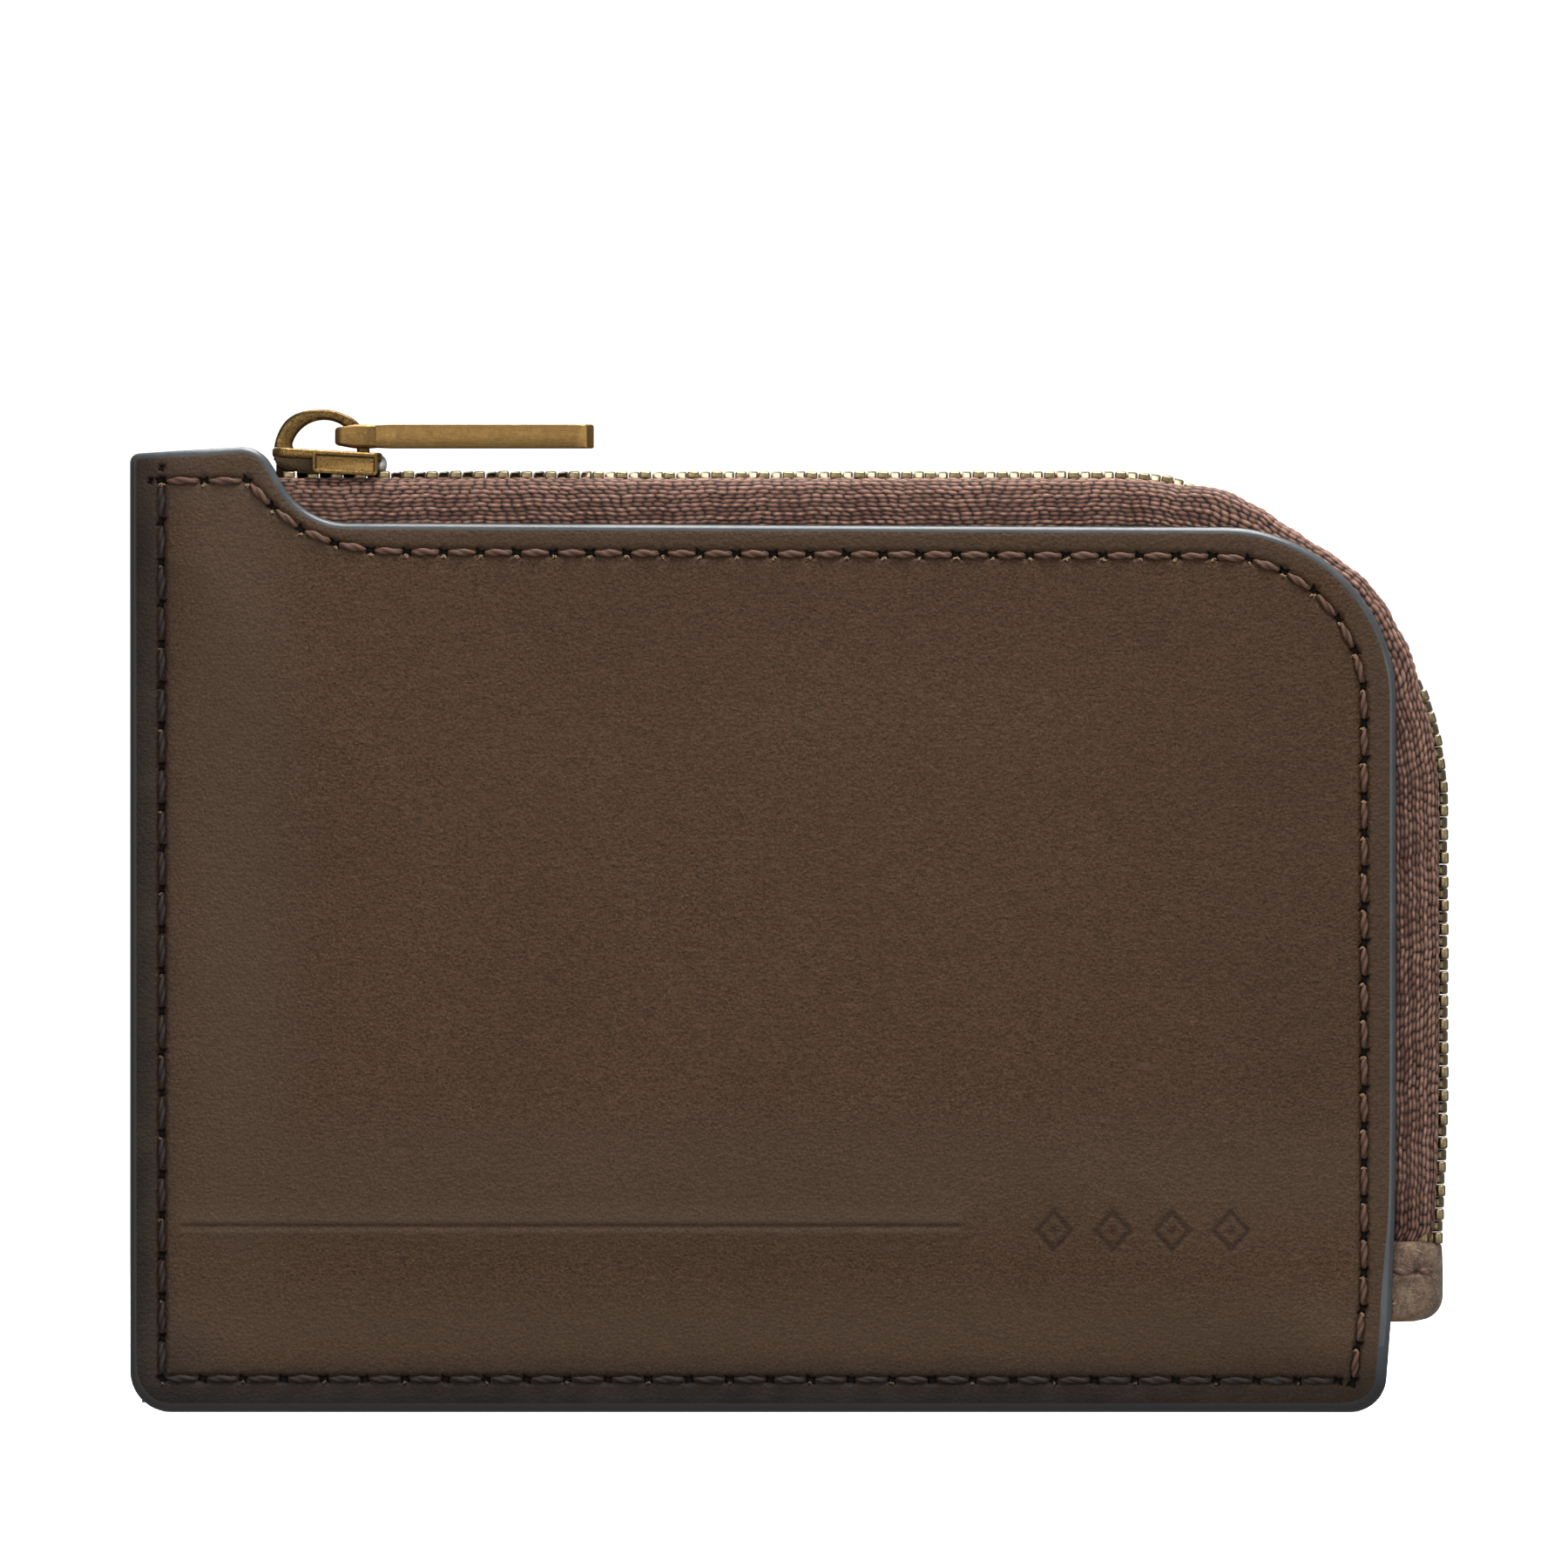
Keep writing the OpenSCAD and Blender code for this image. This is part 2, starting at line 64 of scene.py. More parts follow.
def box_mm(node):
    low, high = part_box(node)
    return np.array(low) / MM, np.array(high) / MM


# ---------------------------------------------------------------- sizes from the frame
panel_low, panel_high = box_mm("front_panel")
teeth_high = box_mm("teeth_front")[1]
slider_low, slider_high = box_mm("slider_body")
loop_low, loop_high = box_mm("slider_loop")
pull_low, pull_high = box_mm("pull_bar")
tab_low, tab_high = box_mm("end_tab")
tape_low = box_mm("tape_front")[0]

X_LEFT, X_LEATHER, RAISED_TOP = panel_low[0], panel_high[0], panel_high[2]
HALF_BODY = -panel_low[1]
LEATHER_T = 1.2
HALF_SEWN = LEATHER_T - panel_high[1]
LEATHER_TOP, TOP_FALL = RAISED_TOP - 6.45, 0.35
CREST_Z, X_TEETH = teeth_high[2], cad_high[0] / MM

CORNER_R = 14.8
BOTTOM_LEFT_R = 3.5
BOTTOM_RIGHT_R = 3.1
BOTTOM_TAPER = 0.78
RIGHT_LOW_Z, RIGHT_LEAN = 8.3, 0.4
RAISED_W, RAISED_LEAN = 9.6, 0.5
S_R_TOP, S_R_FOOT, S_LEAN = 2.6, 6.4, 32
TOP_LEFT_R = 0.8
SPREAD, SPREAD_AT_ZIP = 30, 6.6

CHAIN_R = 28.7
ARC_X, ARC_Z = X_TEETH - CHAIN_R, CREST_Z - CHAIN_R
TAPE_X0 = tape_low[0]
END_LEAN, LEAN_Z = 0.7, (12, 30)

SEAM_INSET = 2.75


# ---------------------------------------------------------------- small helpers
def smooth01(u):
    u = np.clip(u, 0, 1)
    return u * u * (3 - 2 * u)


def ease(u):
    return 1 - (1 - np.clip(u, 0, 1)) ** 2


def mix(a, b, u):
    return a + (b - a) * np.clip(u, 0, 1)


def arc(cx, cz, r, a0, a1, n=16):
    a = np.radians(np.linspace(a0, a1, n + 1))
    return np.stack([cx + r * np.cos(a), cz + r * np.sin(a)], 1)


def resample(points, step, closed=False):
    """Points at an even spacing of about step along a polyline."""
    p = np.array(points, float)
    if closed:
        p = np.vstack([p, p[:1]])
    length = np.concatenate([[0], np.cumsum(np.linalg.norm(np.diff(p, axis=0), axis=1))])
    count = max(2, int(round(length[-1] / step)))
    at = np.linspace(0, length[-1], count + 1)
    out = np.stack([np.interp(at, length, p[:, k]) for k in range(p.shape[1])], 1)
    return out[:-1] if closed else out


def waves(x, z, scale, seed, count=7):
    """A smooth, repeatable unevenness between about -1 and 1."""
    rng = np.random.default_rng(seed)
    total = np.zeros_like(x)
    for _ in range(count):
        angle, phase = rng.uniform(0, 2 * math.pi, 2)
        f = 2 * math.pi / (scale * rng.uniform(0.7, 1.6))
        total += np.sin(f * (x * math.cos(angle) + z * math.sin(angle)) + phase)
    return total / count * 1.6


def mesh_object(name, verts, faces, mats=(), smooth=True, material_index=None, attributes=None):
    """A mesh piece from vertices in millimetres."""
    mesh = bpy.data.meshes.new(name)
    mesh.from_pydata((np.asarray(verts, float) * MM).tolist(), [], faces)
    for m in mats:
        mesh.materials.append(m)
    if smooth:
        mesh.polygons.foreach_set("use_smooth", [True] * len(mesh.polygons))
    if material_index is not None:
        mesh.polygons.foreach_set("material_index", np.asarray(material_index, np.int32))
    for key, values in (attributes or {}).items():
        layer = mesh.attributes.new(key, "FLOAT", "POINT")
        layer.data.foreach_set("value", np.asarray(values, np.float32))
    mesh.validate()
    mesh.update()
    obj = bpy.data.objects.new(name, mesh)
    bpy.context.scene.collection.objects.link(obj)
    return obj


def grid_faces(rows, cols, offset=0, wrap_cols=False, flip=False):
    """Quads over a grid of rows by cols points."""
    faces = []
    for i in range(rows - 1):
        a, b = offset + i * cols, offset + (i + 1) * cols
        for j in range(cols if wrap_cols else cols - 1):
            k = (j + 1) % cols
            quad = (a + j, a + k, b + k, b + j)
            faces.append(quad[::-1] if flip else quad)
    return faces


def end_caps(rows, cols, offset=0, flip=False):
    """The two faces that close a tube of rows by cols points."""
    last = offset + (rows - 1) * cols
    caps = [tuple(range(offset, offset + cols)), tuple(reversed(range(last, last + cols)))]
    return [cap[::-1] for cap in caps] if flip else caps


def cross_sections(count):
    """Angles round a tube's cross-section."""
    return np.linspace(0, 2 * math.pi, count, endpoint=False)


def bevelled(bm, width, segments=2, angle=25):
    """Rounds the sharp edges of a bmesh."""
    edges = [e for e in bm.edges if e.is_manifold and e.calc_face_angle(0) > math.radians(angle)]
    bmesh.ops.bevel(bm, geom=edges, offset=width, offset_type="OFFSET", segments=segments,
                    profile=0.5, affect="EDGES", clamp_overlap=True)


def prism(bm, outline, z0, z1, hole=None):
    """Adds an upright prism over an outline in X and Y, with an optional hole."""
    def ring(points, z):
        return [bm.verts.new((p[0], p[1], z)) for p in points]

    def walls(low, high, inward):
        n = len(low)
        for i in range(n):
            quad = (low[i], low[(i + 1) % n], high[(i + 1) % n], high[i])
            bm.faces.new(tuple(reversed(quad)) if inward else quad)

    low, high = ring(outline, z0), ring(outline, z1)
    walls(low, high, False)
    if hole is None:
        bm.faces.new(high)
        bm.faces.new(tuple(reversed(low)))
        return
    low_hole, high_hole = ring(hole, z0), ring(hole, z1)
    walls(low_hole, high_hole, True)
    n = len(outline)
    for i in range(n):
        j = (i + 1) % n
        bm.faces.new((high[i], high[j], high_hole[j], high_hole[i]))
        bm.faces.new((low[j], low[i], low_hole[i], low_hole[j]))


def object_from_bmesh(name, bm, mats):
    """A mesh piece from a bmesh in millimetres, smooth apart from its sharp edges."""
    bmesh.ops.recalc_face_normals(bm, faces=bm.faces)
    for v in bm.verts:
        v.co *= MM
    mesh = bpy.data.meshes.new(name)
    bm.to_mesh(mesh)
    bm.free()
    for m in mats:
        mesh.materials.append(m)
    mesh.polygons.foreach_set("use_smooth", [True] * len(mesh.polygons))
    mesh.set_sharp_from_angle(angle=math.radians(40))
    obj = bpy.data.objects.new(name, mesh)
    bpy.context.scene.collection.objects.link(obj)
    return obj


def join_into(whole, bm):
    """Moves everything in bm into another bmesh."""
    mesh = bpy.data.meshes.new("part")
    bm.to_mesh(mesh)
    bm.free()
    whole.from_mesh(mesh)
    bpy.data.meshes.remove(mesh)


# ---------------------------------------------------------------- material helpers
class Nodes:
    """Short calls for a material's node tree. Coordinates are the piece's own, in millimetres."""

    def __init__(self, name):
        self.material = bpy.data.materials.new(name)
        self.material.use_nodes = True
        self.tree = self.material.node_tree
        self.shader = self.tree.nodes["Principled BSDF"]
        coords = self.tree.nodes.new("ShaderNodeTexCoord")
        self.mm = self.add("ShaderNodeVectorMath", operation="SCALE", Vector=coords.outputs["Object"],
                           Scale=1 / MM)

    def add(self, kind, out=0, **settings):
        node = self.tree.nodes.new(kind)
        for key, value in settings.items():
            if key.islower() and hasattr(node, key):
                setattr(node, key, value)
                continue
            socket = node.inputs[int(key[1:])] if key[0] == "_" else node.inputs[key.replace("_", " ")]
            self.feed(socket, value)
        return node.outputs[out]

    def feed(self, socket, value):
        if isinstance(value, bpy.types.NodeSocket):
            self.tree.links.new(value, socket)
        else:
            socket.default_value = value

    def attribute(self, name):
        return self.add("ShaderNodeAttribute", out="Fac", attribute_name=name)

    def noise(self, scale, detail=3.0, roughness=0.55, stretch=None, distortion=0.0):
        vector = self.mm
        if stretch is not None:
            vector = self.add("ShaderNodeVectorMath", operation="MULTIPLY", _0=self.mm, _1=stretch)
        return self.add("ShaderNodeTexNoise", out="Fac", Vector=vector, Scale=scale, Detail=detail,
                        Roughness=roughness, Distortion=distortion)

    def cells(self, scale, feature="F1"):
        return self.add("ShaderNodeTexVoronoi", out="Distance", feature=feature, Vector=self.mm,
                        Scale=scale)

    def ramp(self, value, low, high, to_low=0.0, to_high=1.0):
        return self.add("ShaderNodeMapRange", Value=value, _1=low, _2=high, _3=to_low, _4=to_high)

    def math(self, operation, a, b=0.0):
        return self.add("ShaderNodeMath", operation=operation, _0=a, _1=b)

    def blend(self, factor, a, b):
        node = self.tree.nodes.new("ShaderNodeMix")
        node.data_type = "RGBA"
        node.clamp_factor = True
        self.feed(node.inputs[0], factor)
        self.feed(node.inputs[6], a if isinstance(a, bpy.types.NodeSocket) else (*a, 1))
        self.feed(node.inputs[7], b if isinstance(b, bpy.types.NodeSocket) else (*b, 1))
        return node.outputs[2]

    def bump(self, height, depth, strength):
        """depth is how far a height of 1 stands out, in millimetres."""
        node = self.tree.nodes.new("ShaderNodeBump")
        node.inputs["Strength"].default_value = strength
        node.inputs["Distance"].default_value = depth * MM
        self.feed(node.inputs["Height"], height)
        return node.outputs[0]

    def finish(self, color, roughness, normal=None, metallic=0.0, specular=0.5, coat=0.0, sheen=0.0):
        s = self.shader.inputs
        self.feed(s["Base Color"], color if isinstance(color, bpy.types.NodeSocket) else (*color, 1))
        self.feed(s["Roughness"], roughness)
        s["Metallic"].default_value = metallic
        s["Specular IOR Level"].default_value = specular
        s["Coat Weight"].default_value = coat
        s["Sheen Weight"].default_value = sheen
        if normal is not None:
            self.feed(s["Normal"], normal)
        return self.material


# ---------------------------------------------------------------- materials
def leather_material():
    """Pebbled brown leather; its attributes set the burnished edges with their painted shade, the painted
    light, the ruddy places, the painted shade of pressed marks, the torn holes and the painted highlight by
    the crease.
    """
    n = Nodes("leather")
    mottle = n.noise(0.06, 3, 0.5)
    cloud = n.noise(0.30, 4, 0.55)
    speck = n.noise(4.2, 3, 0.65, stretch=(0.8, 1, 1.25))
    fine = n.noise(9.0, 2, 0.6, stretch=(0.9, 1, 1.1))
    veins = n.ramp(n.cells(2.1, "DISTANCE_TO_EDGE"), 0.0, 0.085, 1.0, 0.0)
    veins = n.math("MULTIPLY", veins, n.ramp(speck, 0.40, 0.62, 0.42, 0.08))
    wrinkle = n.noise(1.5, 4, 0.6, stretch=(0.45, 1, 1.6), distortion=0.8)
    pores = n.cells(3.4)
    brown = n.blend(n.ramp(mottle, 0.35, 0.65), (0.064, 0.0300, 0.0122), (0.076, 0.0365, 0.0160))
    brown = n.blend(n.ramp(cloud, 0.25, 0.8, 0.0, 0.5), brown, (0.088, 0.045, 0.0225))
    brown = n.blend(n.ramp(n.attribute("ruddy"), 0.0, 1.0, 0.0, 0.6), brown, (0.095, 0.042, 0.024))
    brown = n.blend(n.ramp(speck, 0.40, 0.66, 0.0, 0.80), brown, (0.028, 0.0125, 0.0055))
    brown = n.blend(n.ramp(fine, 0.50, 0.70, 0.0, 0.90), brown, (0.150, 0.084, 0.042))
    brown = n.blend(n.ramp(wrinkle, 0.54, 0.68, 0.0, 0.34), brown, (0.130, 0.075, 0.042))
    brown = n.blend(veins, brown, (0.150, 0.092, 0.055))
    # Painted light: the leather is lighter where this attribute is high
    painted_light = n.attribute("painted_light")
    brown = n.blend(n.ramp(painted_light, 0.0, 1.0, 0.0, 0.50), brown, (0.100, 0.065, 0.043))
    # Painted light: a lighter strip outside the zip seams, where the rounded edge catches light
    lit_border = n.blend(n.ramp(speck, 0.35, 0.75), (0.088, 0.052, 0.030), (0.060, 0.034, 0.0195))
    brown = n.blend(n.ramp(n.attribute("rim"), 2.1, 2.9, 0.6, 0.0), brown, lit_border)
    # Burnished edges with painted shade: darker along the sewn left and bottom edges
    burnt_and_shaded = n.blend(n.ramp(cloud, 0.3, 0.7), (0.014, 0.0105, 0.0085), (0.031, 0.0235, 0.0185))
    brown = n.blend(n.attribute("burnish_and_shade"), brown, burnt_and_shaded)
    brown = n.blend(n.attribute("shade"), brown, (0.014, 0.008, 0.006))
    # Painted highlight above the crease
    brown = n.blend(n.attribute("glow"), brown, (0.140, 0.095, 0.065))
    brown = n.blend(n.attribute("hole"), brown, (0.0015, 0.001, 0.001))
    rough = n.ramp(speck, 0.3, 0.7, 0.50, 0.66)
    grain = n.math("ADD", n.math("MULTIPLY", pores, 0.9), n.math("MULTIPLY", speck, 0.7))
    grain = n.math("ADD", grain, n.math("MULTIPLY", wrinkle, 0.9))
    normal = n.bump(grain, 0.07, 0.9)
    return n.finish(brown, rough, normal, specular=0.2)


def edge_paint_material():
    n = Nodes("edge_paint")
    cloud = n.noise(0.5, 4)
    streak = n.noise(1.2, 3, 0.6, stretch=(1, 0.2, 1))
    slate = n.blend(n.ramp(cloud, 0.3, 0.7), (0.038, 0.043, 0.046), (0.062, 0.069, 0.072))
    # Burnished darkening with painted shade on the sewn edges
    slate = n.blend(n.attribute("burnish_and_shade"), slate, (0.017, 0.016, 0.0165))
    rough = n.ramp(streak, 0.3, 0.7, 0.36, 0.50)
    normal = n.bump(n.noise(1.6, 4, 0.6), 0.04, 0.4)
    return n.finish(slate, rough, normal, specular=0.5, coat=0.3)


def flesh_material():
    """The leather's uncoated inner side."""
    n = Nodes("leather_flesh")
    fibre = n.noise(4.0, 5, 0.7)
    color = n.blend(n.ramp(fibre, 0.3, 0.7), (0.10, 0.065, 0.042), (0.16, 0.11, 0.075))
    return n.finish(color, 0.85, n.bump(fibre, 0.08, 0.8), specular=0.2)


def tab_material():
    """Wrinkled leather with painted shade in its wrinkles, painted highlights on its raised fold lines, and
    a raw, tan lower edge.
    """
    n = Nodes("tab_leather")
    cloud = n.noise(0.7, 5, 0.65)
    wrinkle = n.noise(1.5, 5, 0.7, stretch=(1.8, 1, 1), distortion=1.2)
    fine = n.cells(5.0)
    color = n.blend(n.ramp(cloud, 0.38, 0.62), (0.100, 0.060, 0.036), (0.350, 0.222, 0.136))
    # Painted shade in the sunken wrinkles
    color = n.blend(n.ramp(wrinkle, 0.50, 0.66, 0.0, 0.7), color, (0.070, 0.044, 0.030))
    # Painted highlights on the raised fold lines
    folds = n.math("ABSOLUTE", n.math("SUBTRACT", n.noise(0.9, 4, 0.6, distortion=1.5), 0.5))
    fold = n.ramp(folds, 0.0, 0.035, 1.0, 0.0)
    color = n.blend(n.math("MULTIPLY", fold, 0.85), color, (0.58, 0.42, 0.27))
    color = n.blend(n.attribute("rawedge"), color, (0.30, 0.155, 0.055))
    color = n.blend(n.attribute("hole"), color, (0.008, 0.005, 0.004))
    height = n.math("ADD", n.math("MULTIPLY", wrinkle, -0.8), n.math("MULTIPLY", fine, 0.25))
    height = n.math("ADD", height, n.math("MULTIPLY", fold, 0.5))
    rough = n.ramp(wrinkle, 0.4, 0.65, 0.34, 0.55)
    return n.finish(color, rough, n.bump(height, 0.24, 1.0), specular=0.5)


def lining_material():
    n = Nodes("lining_cloth")
    warp = n.add("ShaderNodeTexWave", out="Fac", Vector=n.mm, Scale=0.9, wave_type="BANDS",
                 bands_direction="X", Distortion=0.3)
    weft = n.add("ShaderNodeTexWave", out="Fac", Vector=n.mm, Scale=0.9, wave_type="BANDS",
                 bands_direction="Z", Distortion=0.3)
    weave = n.math("MAXIMUM", warp, weft)
    color = n.blend(weave, (0.10, 0.075, 0.055), (0.19, 0.145, 0.11))
    color = n.blend(n.ramp(n.noise(0.6), 0.3, 0.7, 0, 0.4), color, (0.13, 0.10, 0.075))
    return n.finish(color, 0.85, n.bump(weave, 0.05, 0.7), specular=0.2, sheen=0.2)


def tape_material():
    """Woven tape: painted shade between the picks, painted highlights on their tops, and a tint for each
    pick that also carries painted light near the teeth.
    """
    n = Nodes("zip_tape")
    high = n.attribute("high")
    fibre = n.noise(2.6, 5, 0.75)
    cloud = n.noise(0.35, 3)
    # Painted shade between the picks and painted highlight on their tops
    dark, light = (0.007, 0.003, 0.0027), (0.52, 0.32, 0.25)
    # The tint attribute also carries painted light near the teeth
    mid = n.blend(n.attribute("tint"), (0.134, 0.058, 0.036), (0.290, 0.152, 0.106))
    color = n.blend(n.ramp(high, 0.16, 0.52), dark, mid)
    lit = n.math("MULTIPLY", n.ramp(high, 0.60, 0.98), n.ramp(fibre, 0.32, 0.60))
    color = n.blend(lit, color, light)
    color = n.blend(n.ramp(cloud, 0.35, 0.7, 0.0, 0.25), color, (0.125, 0.066, 0.050))
    normal = n.bump(fibre, 0.03, 0.6)
    return n.finish(color, 0.70, normal, specular=0.25, sheen=0.08)


def thread_material(name, dark, light, groove_shade):
    n = Nodes(name)
    groove = n.attribute("groove")
    fibre = n.noise(5.0, 4, 0.7)
    color = n.blend(n.ramp(fibre, 0.3, 0.7), dark, light)
    # Painted shade in the grooves between the twisted plies
    color = n.blend(groove, color, groove_shade)
    color = n.blend(n.attribute("tuft"), color, (0.34, 0.21, 0.11))
    return n.finish(color, 0.6, n.bump(fibre, 0.02, 0.6), specular=0.25)


def brass_material(name, bright, dark, brushed=None, grit=0.0, patina=0.55, metallic=1.0):
    """Aged metal, worn bright on its edges and dark in its corners."""
    n = Nodes(name)
    cloud = n.noise(0.9, 4, 0.6)
    spots = n.noise(3.5, 5, 0.75)
    warm = tuple(0.72 * c for c in bright)
    color = n.blend(n.ramp(cloud, 0.3, 0.7), warm, bright)
    worn = n.math("MULTIPLY", n.ramp(spots, 0.42, 0.72), patina)
    color = n.blend(worn, color, dark)
    edge = n.add("ShaderNodeNewGeometry", out="Pointiness")
    color = n.blend(n.ramp(edge, 0.44, 0.49, 0.8, 0.0), color, dark)
    color = n.blend(n.ramp(edge, 0.52, 0.60, 0.0, 0.6), color, tuple(min(1, 1.6 * c) for c in bright))
    rough = n.ramp(spots, 0.3, 0.8, 0.28, 0.55)
    height = n.math("MULTIPLY", spots, 0.6)
    if brushed is not None:
        lines = n.noise(7.0, 4, 0.7, stretch=brushed)
        color = n.blend(n.ramp(lines, 0.45, 0.75, 0.0, 0.35), color, tuple(0.5 * c for c in bright))
        height = n.math("ADD", height, lines)
    if grit:
        height = n.math("ADD", height, n.math("MULTIPLY", n.cells(4.5), grit))
        color = n.blend(n.ramp(n.noise(6.0, 2, 0.7), 0.52, 0.66, 0.0, 0.8 * grit), color, dark)
    normal = n.bump(height, 0.03, 0.6)
    return n.finish(color, rough, normal, metallic=metallic, specular=0.5)


# Two strand colours and the groove's painted shade for each thread; a bright and a worn colour for each
# metal, and near white for the painted glint on the slider's nub
ZIP_THREAD = (0.108, 0.055, 0.035), (0.185, 0.100, 0.066), (0.045, 0.023, 0.016)
SEWN_THREAD = (0.026, 0.020, 0.018), (0.052, 0.040, 0.034), (0.008, 0.006, 0.005)
TAB_THREAD = (0.13, 0.075, 0.055), (0.24, 0.15, 0.115), (0.05, 0.03, 0.02)
BRASS, BRASS_DARK = (0.200, 0.118, 0.040), (0.026, 0.016, 0.007)
PULL_BRASS, SHADOWED = (0.264, 0.15576, 0.0528), (0.050, 0.034, 0.019)
SHADOWED_DARK = 0.02, 0.013, 0.007
OLIVE, OLIVE_DARK = (0.235, 0.185, 0.100), (0.028, 0.019, 0.010)
# Near white colours for the painted glint on the slider's nub
GLINT_WHITE, GLINT_DARK = (0.95, 0.93, 0.88), (0.35, 0.32, 0.28)


# ---------------------------------------------------------------- outline and faces
def leather_outline():
    """The leather's outline, counter-clockwise from the left edge as seen from the front."""
    right_x = X_LEATHER - BOTTOM_TAPER - BOTTOM_RIGHT_R
    corner = X_LEATHER - CORNER_R, LEATHER_TOP - TOP_FALL - CORNER_R
    raise_x = X_LEFT + RAISED_W
    lean = math.radians(S_LEAN)
    mid_x = raise_x + S_R_TOP * math.cos(lean)
    mid_z = RAISED_TOP - S_R_TOP + S_R_TOP * math.sin(lean)
    low_z = LEATHER_TOP + S_R_FOOT - S_R_FOOT * math.sin(lean)
    foot_x = mid_x + (mid_z - low_z) * math.tan(lean) + S_R_FOOT * math.cos(lean)
    left_top = X_LEFT + TOP_LEFT_R
    return np.vstack([
        arc(X_LEFT + BOTTOM_LEFT_R, BOTTOM_LEFT_R, BOTTOM_LEFT_R, 180, 270),
        arc(right_x, BOTTOM_RIGHT_R, BOTTOM_RIGHT_R, 270, 352),
        [[X_LEATHER - RIGHT_LEAN, RIGHT_LOW_Z], [X_LEATHER - RIGHT_LEAN / 4, 2 * RIGHT_LOW_Z],
         [X_LEATHER, 3 * RIGHT_LOW_Z]],
        arc(*corner, CORNER_R, 0, 90, 40),
        arc(foot_x, LEATHER_TOP + S_R_FOOT, S_R_FOOT, 270, 180 + S_LEAN),
        arc(raise_x, RAISED_TOP - S_R_TOP, S_R_TOP, S_LEAN, 90),
        arc(left_top, RAISED_TOP - RAISED_LEAN - TOP_LEFT_R, TOP_LEFT_R, 93, 180, 8),
    ])


OUTLINE = resample(leather_outline(), 0.3, closed=True)


def inward_normals(loop):
    d = np.roll(loop, -1, 0) - np.roll(loop, 1, 0)
    d /= np.linalg.norm(d, axis=1)[:, None]
    return np.stack([-d[:, 1], d[:, 0]], 1)


NORMALS = inward_normals(OUTLINE)


def edge_distance(p):
    """Distance of each X-Z point from the leather's outline."""
    best = np.full(len(p), 1e9)
    for start in range(0, len(OUTLINE), 100):
        d = np.linalg.norm(p[:, None] - OUTLINE[None, start:start + 100], axis=2).min(1)
        best = np.minimum(best, d)
    return best


def rise(x, z):
    """0 on the sewn left and bottom edges, 1 where the pouch has its full thickness."""
    spread_left = mix(SPREAD, SPREAD_AT_ZIP, (z - 45) / 27)
    spread_bottom = mix(SPREAD, SPREAD_AT_ZIP, (x - 18) / 28)
    return ease((x - X_LEFT) / spread_left) * ease(z / spread_bottom)


def face_depth(x, z):
    """How far the leather's outer side lies from the middle plane."""
    return mix(HALF_SEWN, HALF_BODY, rise(x, z))


# ---------------------------------------------------------------- seams
SEAM_LEFT, SEAM_RIGHT = X_LEFT + SEAM_INSET, X_LEATHER - SEAM_INSET
SEAM_TOP, SEAM_BOTTOM = LEATHER_TOP - SEAM_INSET + 0.25, SEAM_INSET
RAISED_SEAM_Z = RAISED_TOP - 2.9
ZIP_PITCH, SEWN_PITCH = 3.1, 3.45
THREAD_SHARE, THREAD_TURNS = 0.75, 1.6
TUFT_SHIFT = np.array([-0.10, -0.24])


def zip_seam_path():
    """The seam beside the zip, from the top left corner to the lower right one."""
    foot = X_LEFT + 22.2
    raised = [
        (SEAM_LEFT, RAISED_SEAM_Z), (X_LEFT + 10.0, RAISED_SEAM_Z), (X_LEFT + 11.9, RAISED_SEAM_Z - 2.0),
        (X_LEFT + 13.7, RAISED_SEAM_Z - 3.7), (X_LEFT + 16.4, SEAM_TOP + 1.0),
        (X_LEFT + 19.4, SEAM_TOP + 0.22), (foot, SEAM_TOP + 0.05), (foot + 3, SEAM_TOP),
    ]
    corner = arc(X_LEATHER - CORNER_R, LEATHER_TOP - TOP_FALL - CORNER_R, CORNER_R - SEAM_INSET, 90, 0, 24)
    corner[:, 1] += 0.25 * np.linspace(1, 0, len(corner))
    low = [(SEAM_RIGHT, RIGHT_LOW_Z + 1.6), (SEAM_RIGHT - 0.4, 6.6), (SEAM_RIGHT - 0.95, SEAM_BOTTOM - 0.1)]
    return np.vstack([raised, corner, low])


def sewn_seam_path():
    return np.array([(SEAM_LEFT, RAISED_SEAM_Z), (SEAM_LEFT, SEAM_BOTTOM + 0.15),
                     (SEAM_RIGHT - 2.2, SEAM_BOTTOM)])


def split_corner(path, corner, pitch):
    """Holes along a path that turns sharply at one of its points, with a hole in the turn."""
    first = resample(path[:corner + 1], pitch)
    return np.vstack([first, resample(path[corner:], pitch)[1:]])


ZIP_HOLES = split_corner(zip_seam_path(), 1, ZIP_PITCH)
SEWN_HOLES = split_corner(sewn_seam_path(), 1, SEWN_PITCH)
EXTRA_HOLES = np.array([[SEAM_LEFT - 0.95, RAISED_SEAM_Z], [SEAM_LEFT, RAISED_SEAM_Z + 1.1]])


def star(q, size, turn):
    """1 inside a small torn star, long along the direction turn, falling to 0 round it."""
    best = np.zeros(len(q))
    for angle, length, width in ((-38, 0.64, 0.15), (33, 0.56, 0.12), (3, 0.44, 0.15)):
        a = math.radians(angle) + turn
        r = np.hypot((q[:, 0] * math.cos(a) + q[:, 1] * math.sin(a)) / (length * size),
                     (-q[:, 0] * math.sin(a) + q[:, 1] * math.cos(a)) / (width * size))
        best = np.maximum(best, smooth01((1.2 - r) / 0.45))
    return best


def directions(holes):
    """The angle at which the seam passes each hole; upright for a lone hole."""
    if len(holes) < 2:
        return [math.pi / 2]
    d = np.gradient(holes, axis=0)
    return np.arctan2(d[:, 1], d[:, 0])


